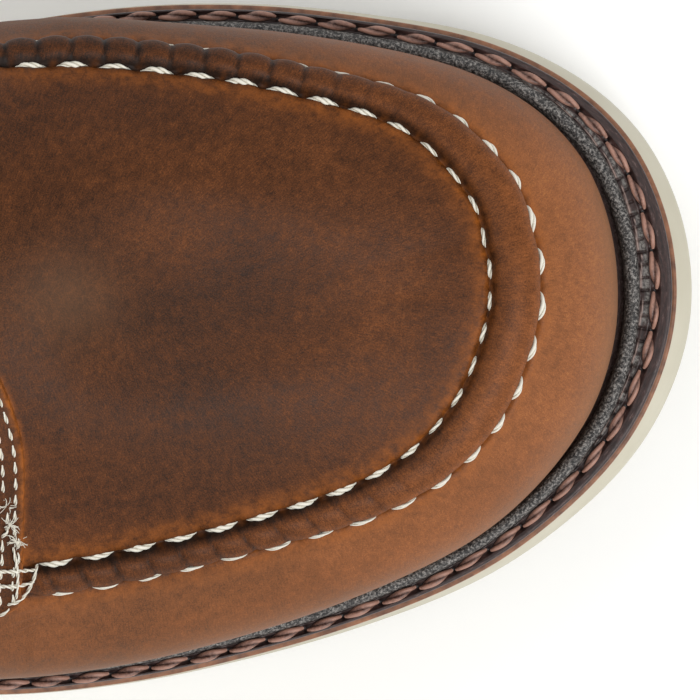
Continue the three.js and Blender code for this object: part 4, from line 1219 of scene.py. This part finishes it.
def make_thread_material(name, dark, light, roughness):
    """Waxed twisted linen thread: a painted highlight on each ply's crown and painted shade between plies."""
    material, tree, shader = new_material(name, roughness)
    place = object_place(tree)
    fuzz = noise(tree, place, 1800.0, 3.0, 0.7)
    # Painted highlight and shade of the thread: light on each ply's crown, dark between plies and at the
    # tips.
    crown = attribute(tree, "crown")
    shade = sums(tree, "MULTIPLY_ADD", sums(tree, "SUBTRACT", fuzz, 0.5), 0.9, crown)
    tree.links.new(ramp(tree, shade, [(0.1, dark), (0.75, light)]), shader.inputs["Base Color"])
    tree.links.new(bump(tree, fuzz, 0.12, 0.6), shader.inputs["Normal"])
    return material


cream_thread = make_thread_material("waxed_cream_thread", "#948a72", "#e6e2d4", 0.6)
welt_thread = make_thread_material("waxed_welt_thread", "#38201a", "#a47b6b", 0.5)


def tube_faces(tubes, steps, sides):
    """Quads of tubes stored one after another, and fans to their tips. The tips follow the last
    tube: one for each start, then one for each end."""
    start = np.arange(tubes)[:, None] * steps * sides
    quads = grid_faces(steps, sides, wrap_columns=True)[None] + start[:, :, None]
    faces = [quads.reshape(-1, 4)[:, ::-1]]
    ring = np.arange(sides)[None]
    for end, row in ((0, 0), (1, steps - 1)):
        first = start + row * sides + ring
        second = start + row * sides + (ring + 1) % sides
        tip = tubes * steps * sides + end * tubes + np.arange(tubes)[:, None]
        tip = np.broadcast_to(tip, first.shape)
        pair = (first, second) if end == 0 else (second, first)
        faces.append(np.stack([pair[0], pair[1], tip, tip], -1).reshape(-1, 4))
    return np.concatenate(faces)


def twisted_stitches(path, up, radius, plies, turns, sides=8, taper=0.35, dirt=1.0):
    """Stitches from paths of shape (stitch, step, 3): ply k winds at angle 2 pi (turns t + k/plies)
    round the path, and each ply is a tube that thins towards both ends and is closed there.
    Radius, turns and dirt may be a number for each stitch."""
    count, steps = path.shape[:2]
    t = np.linspace(0, 1, steps)[None]
    radius, turns, dirt = [np.broadcast_to(np.asarray(v, float).reshape(-1, 1), (count, 1))
                           for v in (radius, turns, dirt)]
    tangent = unit(np.gradient(path, axis=1))
    side = unit(np.cross(tangent, up))
    above = np.cross(side, tangent)
    width = radius * (taper + (1 - taper) * np.sin(np.pi * t) ** 0.6)
    ply = 0.58 if plies == 2 else 0.54
    ring = np.linspace(0, 2 * np.pi, sides, endpoint=False)
    circle = (np.cos(ring)[:, None] * above[:, :, None] + np.sin(ring)[:, None] * side[:, :, None])
    points, crown = [], []
    for k in range(plies):
        angle = 2 * np.pi * (turns * t + k / plies)
        around = np.cos(angle)[..., None] * above + np.sin(angle)[..., None] * side
        centre = path + around * (1 - ply) * width[..., None]
        points.append(centre[:, :, None] + circle * (ply * width)[..., None, None])
        # Painted highlight on the outward side of each ply, painted shade where the plies meet.
        outward = 0.5 + 0.5 * np.cos(ring - angle[..., None])
        crown.append(outward * dirt[..., None])
    points = np.stack(points, 1)
    crown = np.stack(crown, 1)
    first_tips = points[:, :, 0].mean(2).reshape(-1, 3)
    last_tips = points[:, :, -1].mean(2).reshape(-1, 3)
    ends = np.concatenate([first_tips, last_tips])
    points = np.concatenate([points.reshape(-1, 3), ends])
    # The tips get painted shade where the thread dives in.
    crown = np.concatenate([crown.reshape(-1), np.full(len(ends), 0.3)])
    return points, tube_faces(count * plies, steps, sides), crown


def join_parts(parts):
    """Several (points, faces, crown) sets as one."""
    points, faces, crown, start = [], [], [], 0
    for p, f, c in parts:
        points.append(p)
        faces.append(f + start)
        crown.append(c)
        start += len(p)
    return np.concatenate(points), np.concatenate(faces), np.concatenate(crown)


def make_welt_thread():
    """One stitch for each block of the welt. It rises steeply from its hole, lies a little aslant
    along the channel and dives into the next."""
    t = np.linspace(0, 1, 14)
    number = np.arange(welt_count)[:, None] + 0.09 + 0.82 * t[None]
    a = np.interp(number, welt_numbers, welt_places)
    seed = np.arange(welt_count)[:, None]
    drift = 0.5 * (t - 0.5)[None] + 0.1 * np.sin(seed * 2.3)
    x, y = outline(a, thread_inset(a) + drift)
    arch = np.sin(np.pi * t)[None] ** 0.5
    z = welt_top(x) - 0.9 + (1.25 + 0.12 * np.sin(seed * 1.3)) * arch
    path = np.stack([x, y, z], -1)
    up = np.broadcast_to(np.array([0.0, 0.0, 1.0]), path.shape)
    radius = THREAD_RADIUS * (1 + 0.07 * np.sin(np.arange(welt_count) * 3.1))
    dirt = 0.88 + 0.14 * np.sin(np.arange(welt_count) * 2.7)
    points, faces, crown = twisted_stitches(path, up, radius, 2, 0.55, 9, 0.6, dirt)
    piece = make_piece("welt_thread", points, faces, [welt_thread], values={"crown": crown})


make_welt_thread()

# %% [markdown]
# The moccasin seam has two rows of stitches, one in each crease of the roll. At the toe the outer
# row shows short fat lenses; on the outer side the inner row shows its twist best.

# %% Moccasin stitches


def seam_surface(distance, across, lift):
    """Point over the seam at a signed arc length, a distance across and a lift."""
    a = seam_place(distance)
    below, above = seam_rates(a)
    real = across + seam_shift(a)
    h = 0.5 + np.where(real < 0, real / below, real / above)
    relief = np.minimum(seam_relief(a, across)[0], 0.6)
    point, normal = vamp_surface(a, h)
    return point + normal * (relief + lift)[..., None], normal


def seam_reach(side):
    """How far the seam shows before the quarter covers it."""
    return float(np.interp(quarter_inner(0.5) if side > 0 else quarter_outer(0.5), seam_places,
                           seam_inner_length if side > 0 else seam_outer_length))


def make_moccasin_stitches():
    """Both rows: a stitch bulges away from the roll by a sine and is widest in its middle."""
    low, high = -seam_reach(-1) - 1.0, seam_reach(1) - 2.0
    first = int(np.ceil(np.interp(low, stitch_distance, stitch_number)))
    last = int(np.floor(np.interp(high, stitch_distance, stitch_number)))
    number = np.arange(first, last)
    t = np.linspace(0, 1, 15)
    bow = np.sin(np.pi * t)[None]
    parts = []
    for side in (-1, 1):
        toe = toe_weight(np.interp(number + 0.36, stitch_number, stitch_distance))
        if side < 0:
            radius = mix(0.4, 0.66, toe)
            out = mix(0.5, 0.15, toe)
            turns, dirt = 0.5, 1.0
            reach = mix(0.66, 0.7, toe)
            sunk = mix(-0.22, -0.55, toe)
            arch = mix(0.42, 0.75 + 0.35 * radius, toe)
        else:
            radius = mix(0.64, 0.5, toe)
            out = mix(0.12, -0.05, toe)
            turns = mix(1.1, 0.6, toe)
            dirt = mix(1.0, 0.8, toe)
            reach = mix(0.84, 0.7, toe)
            sunk = -0.55 + 0 * toe
            arch = 0.75 + 0.35 * radius
        wobble = 1 + 0.1 * np.sin(number * 2.9 + side)
        place = number[:, None] + 0.36 + (t[None] - 0.5) * reach[:, None]
        distance = np.interp(place, stitch_number, stitch_distance)
        half = seam_half(seam_place(distance))
        across = side * (half + (out + 0.05)[:, None] + (0.3 * radius)[:, None] * bow)
        lift = sunk[:, None] + arch[:, None] * bow ** 0.5 + 0 * distance
        path, normal = seam_surface(distance, across, lift)
        parts.append(twisted_stitches(path, normal, radius * wobble, 3, turns, 8, 0.14, dirt))
    points, faces, crown = join_parts(parts)
    piece = make_piece("moccasin_stitches", points, faces, [cream_thread], values={"crown": crown})


make_moccasin_stitches()

# %% [markdown]
# The quarters, the collar and the backstay are sewn with finer thread, in rows that run beside the
# edges. Each row is a line in the upper's own two parameters, cut into stitches by arc length.

# %% Rows of stitches
ROW_PITCH = 3.0
ROW_RADIUS = 0.32


def sewn_row(rounds, h, lift):
    """Stitches along a line on the upper, each an arc that dips into the leather at both ends."""
    a = lean(rounds, h)
    line = last_point(a, h)
    normal = last_normal(a, h)
    line = line + normal * (fold_relief(rounds, h) * ease(place_of(rounds) - THROAT, 0.02, 0.05)
                            * ease(1 - h, 0.1, 0.25) + lift)[..., None]
    length = arc_length(line)
    count = int(length[-1] / ROW_PITCH)
    t = np.linspace(0, 1, 7)
    at = (np.arange(count)[:, None] + 0.1 + 0.8 * t[None]) * length[-1] / count
    path = np.stack([np.interp(at, length, line[:, k]) for k in range(3)], -1)
    up = unit(np.stack([np.interp(at, length, normal[:, k]) for k in range(3)], -1))
    rise = -0.32 + 0.42 * np.sin(np.pi * t) ** 0.5
    return twisted_stitches(path + up * rise[None, :, None], up, ROW_RADIUS, 2, 0.6, 6, 0.5)


def on_side(b, outer_side):
    """The same distance from the toe on the inner side or on the outer one."""
    return 2 - b if outer_side else b


def make_quarter_stitches():
    """Two rows behind the quarter's front edge, one under the collar and one beside the backstay,
    all on both sides."""
    parts = []
    up_wall = np.linspace(0.09, 0.955, 400)
    rear = np.linspace(THROAT + 0.012, 1, 900)
    rim = np.linalg.norm(last_point(rear, 1.0) - last_point(rear, 0.96), axis=-1) / 0.04
    for outer_side in (False, True):
        for gap in (2.2, 4.6):
            front = THROAT + gap * ROUND_PER_MM + 0 * up_wall
            parts.append(sewn_row(on_side(front, outer_side), up_wall, QUARTER_STEP))
        before = rear < BACKSTAY - 0.004
        under_rim = (1 - 3.6 / rim)[before]
        parts.append(sewn_row(on_side(rear[before], outer_side), under_rim, QUARTER_STEP))
        for gap in (2.0, 4.2):
            stay = BACKSTAY + gap * ROUND_PER_MM * STAY_STRETCH + 0 * up_wall
            parts.append(sewn_row(on_side(stay, outer_side), up_wall, QUARTER_STEP + BACKSTAY_STEP))
    points, faces, crown = join_parts(parts)
    piece = make_piece("quarter_stitches", points, faces, [cream_thread], values={"crown": crown})


make_quarter_stitches()

# %% [markdown]
# Where the moccasin seam runs under the outer facing, its thread ends are tied off: two bars over
# the edge, a loop and a frayed knot. They are placed one by one over the leather's own height.

# %% Tied thread ends


def leather_patch(a, h):
    """Points of the outer skin over a fine grid of its parameters."""
    rounds, up = np.meshgrid(a, h, indexing="ij")
    gap = (place_of(rounds) - THROAT) / ROUND_PER_MM
    at = lean(rounds, up)
    across = (up - 0.5) * seam_rates(at)[0]
    lift = upper_relief(rounds, up, across, gap, gap * 0 - 9)[0]
    return (last_point(at, up) + last_normal(at, up) * lift[..., None]).reshape(-1, 3)


def leather_height(x, y, patch):
    """Height of the leather at plan positions: that of the nearest point of the patch."""
    far = (patch[None, :, 0] - x[:, None]) ** 2 + (patch[None, :, 1] - y[:, None]) ** 2
    return patch[np.argmin(far, axis=1), 2]


# Plan positions in mm: two bars, the loop, the vertical seam thread and short frayed ends.
TIED_THREADS = (
    (0.36, ((48.6, -35.1), (46.6, -35.2), (44.4, -35.3), (42.6, -35.2))),
    (0.36, ((48.4, -37.0), (46.2, -37.6), (44.2, -37.7), (42.4, -37.6))),
    (0.34, ((48.9, -34.2), (48.5, -36.2), (47.2, -38.8), (45.6, -40.3), (44.2, -40.6))),
    (0.3, ((45.3, -31.5), (45.7, -34.0), (45.9, -36.5), (45.6, -39.6))),
)
KNOTS = ((44.4, -24.8), (44.9, -27.9), (45.8, -30.5))


def frayed_strands():
    """Fine curved strands round each knot, at random angles: each bends by a sine of its length."""
    chance = np.random.default_rng(7)
    strands = []
    for x, y in KNOTS:
        for angle in chance.uniform(0, 2 * np.pi, 22):
            reach = chance.uniform(0.8, 1.9)
            bend = chance.uniform(-0.5, 0.5)
            t = np.linspace(0, 1, 4)
            across = bend * np.sin(np.pi * t * 0.8)
            strands.append((0.09, np.stack([x + reach * t * math.cos(angle) - across * math.sin(angle),
                                            y + reach * t * math.sin(angle) + across * math.cos(angle)], -1)))
    return strands


def make_tied_threads():
    """Each thread is a smooth curve through its plan positions, laid on the leather's height, with
    both ends sunk in."""
    parts = []
    patch = leather_patch(2 - np.linspace(THROAT - 0.02, THROAT + 0.05, 60), np.linspace(0.4, 0.8, 160))
    for radius, knots in list(TIED_THREADS) + frayed_strands():
        knots = np.array(knots)
        t = np.linspace(0, len(knots) - 1, 16 if radius > 0.2 else 7)
        x, y = [smooth(np.arange(len(knots)), knots[:, k])(t) for k in range(2)]
        z = leather_height(x, y, patch)
        z = np.convolve(np.pad(z, 2, mode="edge"), np.ones(5) / 5, mode="valid")
        z = z + radius * 1.2 + (0.35 if radius < 0.2 else 0.0)
        z[[0, -1]] -= radius * 1.6
        path = np.stack([x, y, z], -1)[None]
        up = np.broadcast_to(np.array([0.0, -0.3, 0.95]), path.shape)
        parts.append(twisted_stitches(path, up, radius, 2, 3.0, 7, 0.6))
    points, faces, crown = join_parts(parts)
    piece = make_piece("tied_thread_ends", points, faces, [cream_thread], values={"crown": crown})


make_tied_threads()

# %% [markdown]
# Tongue, eyelets and lace are beyond the photograph's edge, so they follow the plain pattern of
# such a boot: a gusseted tongue of the same leather, seven brass eyelets a side and a waxed cord.

# %% Tongue
TONGUE_START = 0.375
TONGUE_END = 0.64
TONGUE_REACH = 0.2
TONGUE_CROWN = 0.055
EDGE_SHARE = 0.5


def tongue_point(s, v, depth):
    """Under the facings the tongue follows the upper's inside; between them it is crowned."""
    s, v = np.broadcast_arrays(np.asarray(s, float), np.asarray(v, float))
    sink = -(WALL + TONGUE_CLEARANCE + depth)
    size = np.abs(v)
    h = 1 - np.maximum(size - EDGE_SHARE, 0) / (1 - EDGE_SHARE) * TONGUE_REACH
    inner = last_point(s, h) + last_normal(s, h) * sink
    outer = last_point(2 - s, h) + last_normal(2 - s, h) * sink
    t = v / EDGE_SHARE
    normal = unit(last_normal(s, 0.98) + last_normal(2 - s, 0.98))
    opened = np.where(s > THROAT, mix(0.6, 1, ease(s, THROAT, THROAT + 0.06)), 0)
    rise = TONGUE_CROWN * BALL_WIDTH * opened * (1 - t * t)
    across = mix(outer, inner, ((t + 1) / 2)[..., None]) + normal * rise[..., None]
    edge = np.where((v > 0)[..., None], inner, outer)
    return np.where((size >= EDGE_SHARE)[..., None], edge, across)


def make_tongue():
    """Two sheets of points, one a tongue's thickness below the other, closed round the edge. The
    tip runs on past the last section in its direction."""
    s = np.concatenate([np.linspace(TONGUE_START, THROAT - 0.0015, 12),
                        np.linspace(THROAT + 0.0015, TONGUE_END, 70), np.full(12, TONGUE_END)])
    reach = np.concatenate([np.zeros(82), np.linspace(0, TONGUE_TIP, 13)[1:]])
    v = np.linspace(-1, 1, 61)
    width = v[None] * (1 - 0.12 * reach[:, None] / TONGUE_TIP)
    below = tongue_point(TONGUE_END - 0.03, 0.0, 0.0)
    upward = unit(tongue_point(TONGUE_END, 0.0, 0.0) - below)
    tip = reach[:, None] * (1 - 0.6 * v[None] ** 4)
    sheets = []
    for depth in (0.0, TONGUE):
        sheets.append(tongue_point(s[:, None], width, depth) + tip[..., None] * upward)
    rows, columns = sheets[0].shape[:2]
    points = np.concatenate([sheet.reshape(-1, 3) for sheet in sheets])
    start = rows * columns
    faces = [grid_faces(rows, columns)[:, ::-1], grid_faces(rows, columns, start=start)]
    loop = np.concatenate([np.arange(columns), np.arange(1, rows) * columns + columns - 1,
                           (rows - 1) * columns + np.arange(columns - 2, -1, -1),
                           np.arange(rows - 2, 0, -1) * columns])
    after = np.roll(loop, -1)
    faces.append(np.stack([loop, after, after + start, loop + start], -1)[:, ::-1])
    rim = np.clip(np.maximum(np.abs(v)[None] - 0.93, 0) / 0.07 + ease(reach[:, None], 8, 10), 0, 1)
    rim = np.concatenate([rim.reshape(-1)] * 2)
    tone = np.full(len(points), 0.36)
    piece = make_piece("tongue_leather", points, np.concatenate(faces), [pull_up_leather],
                       values={"tone": tone, "worn": rim, "greying_and_sheen": 0 * tone})
    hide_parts("tongue")


make_tongue()

# %% Eyelets
EYELET_PAIRS = 7
EYELET_HOLE = 2.3
EYELET_INSET = 9.0
EYELET_LIFT = 1.1
FACING_START = 0.43
FACING_END = 0.62
LACE = 3.6


def eyelet_places():
    """Places of the eyelets: even steps of arc length along the facing's edge."""
    s = np.linspace(FACING_START, FACING_END, 61)
    line = last_point(s, 1.0)
    length = arc_length(line)
    return np.interp(np.linspace(0, length[-1], EYELET_PAIRS), length, s)


def eyelet_seats():
    """Centres, normals and places of the eyelets, inner side first."""
    s = eyelet_places()
    a = np.stack([s, 2 - s])
    unit_length = np.linalg.norm(last_point(a, 0.97) - last_point(a, 0.93), axis=-1) / 0.04
    h = 1 - EYELET_INSET / unit_length
    normal = last_normal(a, h)
    return last_point(a, h) + normal * (QUARTER_STEP + EYELET_LIFT), normal, a


eyelet_centre, eyelet_normal, eyelet_a = eyelet_seats()

# Antiqued brass: blackened, with the brass showing through in clouds.
antique_brass = speckled("antique_brass", 0.35, (600.0,), [(0.35, "#4a3a24"), (0.7, "#9a7a4a")],
                         Metallic=1.0)


def make_eyelets():
    """A rolled flange: a half ring section turned round the eyelet's axis, with a short barrel."""
    profile = np.array([(EYELET_HOLE, -2.2), (EYELET_HOLE, 0.3), (2.5, 0.75), (2.9, 1.0), (3.4, 0.95),
                        (4.0, 0.6), (4.35, 0.1), (4.4, -0.4), (4.1, -0.9), (3.0, -1.1), (2.7, -2.2)])
    ring = np.linspace(0, 2 * np.pi, 32, endpoint=False)
    for i, side in enumerate(("medial", "lateral")):
        for n in range(EYELET_PAIRS):
            axis = eyelet_normal[i, n]
            first = unit(np.cross(axis, np.array([0.0, 0.0, 1.0]) + 1e-6))
            second = np.cross(axis, first)
            radial = np.cos(ring)[:, None] * first + np.sin(ring)[:, None] * second
            points = (eyelet_centre[i, n] + radial[:, None] * profile[None, :, :1]
                      + axis * profile[None, :, 1:])
            faces = grid_faces(len(ring), len(profile), wrap_rows=True, wrap_columns=True)
            name = f"brass_eyelet_{side}_{n + 1}"
            piece = make_piece(name, points, faces, [antique_brass])
            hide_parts(f"eyelet_{side}_{n + 1}")


make_eyelets()

# %% Lace


def make_lace_cord():
    """Waxed round lace, braided from flat yarns: a diamond weave on its own UV map."""
    material, tree, shader = new_material("braided_waxed_lace", 0.62)
    uv = node(tree, "ShaderNodeUVMap", uv_map="UVMap").outputs["UV"]
    weave = []
    for turn in (math.radians(38), math.radians(-38)):
        turning = {"Vector": uv, "Rotation": (0.0, 0.0, turn)}
        turned = node(tree, "ShaderNodeMapping", turning).outputs["Vector"]
        wave = node(tree, "ShaderNodeTexWave", {"Vector": turned, "Scale": 420.0, "Distortion": 0.0})
        weave.append(wave.outputs["Fac"])
    braid = sums(tree, "MAXIMUM", weave[0], weave[1])
    tree.links.new(ramp(tree, braid, [(0.2, "#3f2a18"), (0.9, "#9a7446")]), shader.inputs["Base Color"])
    tree.links.new(bump(tree, braid, 0.3, 0.7), shader.inputs["Normal"])
    return material


def spline_points(knots, steps):
    """Smooth path through the knots by their chord lengths."""
    knots = np.asarray(knots)
    length = arc_length(knots)
    t = np.linspace(0, length[-1], steps)
    slopes = np.gradient(knots, length, axis=0)
    i = np.clip(np.searchsorted(length, t, side="right") - 1, 0, len(knots) - 2)
    w = (length[i + 1] - length[i])[:, None]
    u = ((t - length[i]) / w[:, 0])[:, None]
    return hermite(u, w, knots[i], slopes[i], knots[i + 1], slopes[i + 1])


def tube(path, radius, sides=12):
    """Closed round tube along a path, with UV along and around it in millimetres."""
    tangent = unit(np.gradient(path, axis=0))
    side = unit(np.cross(tangent, np.array([1.0, 0.0, 0.35])))
    above = np.cross(side, tangent)
    ring = np.linspace(0, 2 * np.pi, sides, endpoint=False)
    circle = np.cos(ring)[None, :, None] * above[:, None] + np.sin(ring)[None, :, None] * side[:, None]
    points = path[:, None] + circle * radius
    tips = np.stack([path[0], path[-1]])
    length = arc_length(path)
    uv = np.stack(np.broadcast_arrays(length[:, None], ring[None] * radius), -1).reshape(-1, 2)
    uv = np.concatenate([uv, np.zeros((2, 2))])
    return np.concatenate([points.reshape(-1, 3), tips]), tube_faces(1, len(path), sides), uv


def lace_run(first, second, over_both):
    """From the top of one eyelet over the facing's edge and the tongue, then into the other eyelet
    or under the other facing."""
    i, n = first
    k, m = second
    radius = LACE / 2
    lift = radius + 0.3
    s = (place_of(eyelet_a[i, n]) + place_of(eyelet_a[k, m])) / 2
    low, high = place_of(eyelet_a[i, n]), place_of(eyelet_a[k, m])

    def edge(side, share, height):
        place = mix(low, high, share)
        a = place if side == 0 else 2 - place
        return last_point(a, 1.0) + last_normal(a, 1.0) * height

    normal = unit(last_normal(s, 0.98) + last_normal(2 - s, 0.98))
    middle = tongue_point(s, 0.0, 0.0) + normal * (radius + 0.5 + (0.9 if i else 0.0))
    start = eyelet_centre[i, n]
    axis = eyelet_normal[i, n]
    toward = unit(edge(i, 0.1, 0.0) - start)
    knots = [start - axis * 2.5, start + axis * 0.4, start + axis * (lift + 0.3) + toward * 2.2,
             edge(i, 0.14, QUARTER_STEP + lift), middle]
    end = eyelet_centre[k, m]
    end_axis = eyelet_normal[k, m]
    back = unit(edge(k, 0.9, 0.0) - end)
    if over_both:
        knots += [edge(k, 0.86, QUARTER_STEP + lift), end + end_axis * (lift + 0.3) + back * 2.2,
                  end + end_axis * 0.4, end - end_axis * 2.5]
    else:
        under = end - end_axis * (QUARTER_STEP + EYELET_LIFT + WALL + 1.2) + back * 3.0
        knots += [edge(k, 0.9, -WALL - 0.9), under]
    return spline_points(np.array(knots), 44)


def make_lace():
    """One straight bar over the lowest pair, then a cross from each pair to the next."""
    parts = [tube(lace_run((0, 0), (1, 0), True), LACE / 2)]
    for n in range(EYELET_PAIRS - 1):
        parts.append(tube(lace_run((0, n), (1, n + 1), False), LACE / 2))
        parts.append(tube(lace_run((1, n), (0, n + 1), False), LACE / 2))
    print("lace through the eyelets in mm:", round(sum(part[2][:, 0].max() for part in parts)))
    points, faces, uv = join_parts(parts)
    piece = make_piece("waxed_lace", points, faces, [make_lace_cord()], uv)
    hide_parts("lace")


make_lace()

# %% [markdown]
# The photograph is a studio picture on pure white, with broad soft light from above. A pale floor,
# a bright even world and two large soft lamps give nearly the same.

# %% Floor and light
FLOOR_SIZE = 6.0


def make_floor():
    """A large plain square under the sole."""
    material, tree, shader = new_material("pale_floor", 0.9)
    shader.inputs["Base Color"].default_value = colour("#fdfdfc")
    half = FLOOR_SIZE / 2
    mesh = bpy.data.meshes.new("floor")
    corners = [(-half, -half, 0), (half, -half, 0), (half, half, 0), (-half, half, 0)]
    mesh.from_pydata(corners, [], [(0, 1, 2, 3)])
    mesh.materials.append(material)
    floor = bpy.data.objects.new("floor", mesh)
    bpy.context.scene.collection.objects.link(floor)


def make_light(name, place, target, size, power):
    """A square soft lamp that faces its target."""
    data = bpy.data.lights.new(name, "AREA")
    data.size = size
    data.energy = power
    lamp = bpy.data.objects.new(name, data)
    lamp.location = place
    direction = np.array(target) - np.array(place)
    flat = math.hypot(direction[0], direction[1])
    tilt = math.atan2(flat, -direction[2])
    turn = math.atan2(direction[1], direction[0]) - math.pi / 2
    lamp.rotation_euler = (tilt, 0.0, turn)
    bpy.context.scene.collection.objects.link(lamp)


make_floor()
TOE = (0.05, 0.0, 0.05)
make_light("key", place=(0.9, -0.7, 1.5), target=TOE, size=1.0, power=22.0)
make_light("fill", place=(-0.8, 0.9, 1.4), target=TOE, size=1.4, power=9.0)
world = bpy.data.worlds.new("studio")
world.use_nodes = True
world.node_tree.nodes["Background"].inputs["Color"].default_value = (1.0, 1.0, 1.0, 1.0)
world.node_tree.nodes["Background"].inputs["Strength"].default_value = 0.52
bpy.context.scene.world = world
bpy.context.scene.view_settings.view_transform = "Standard"
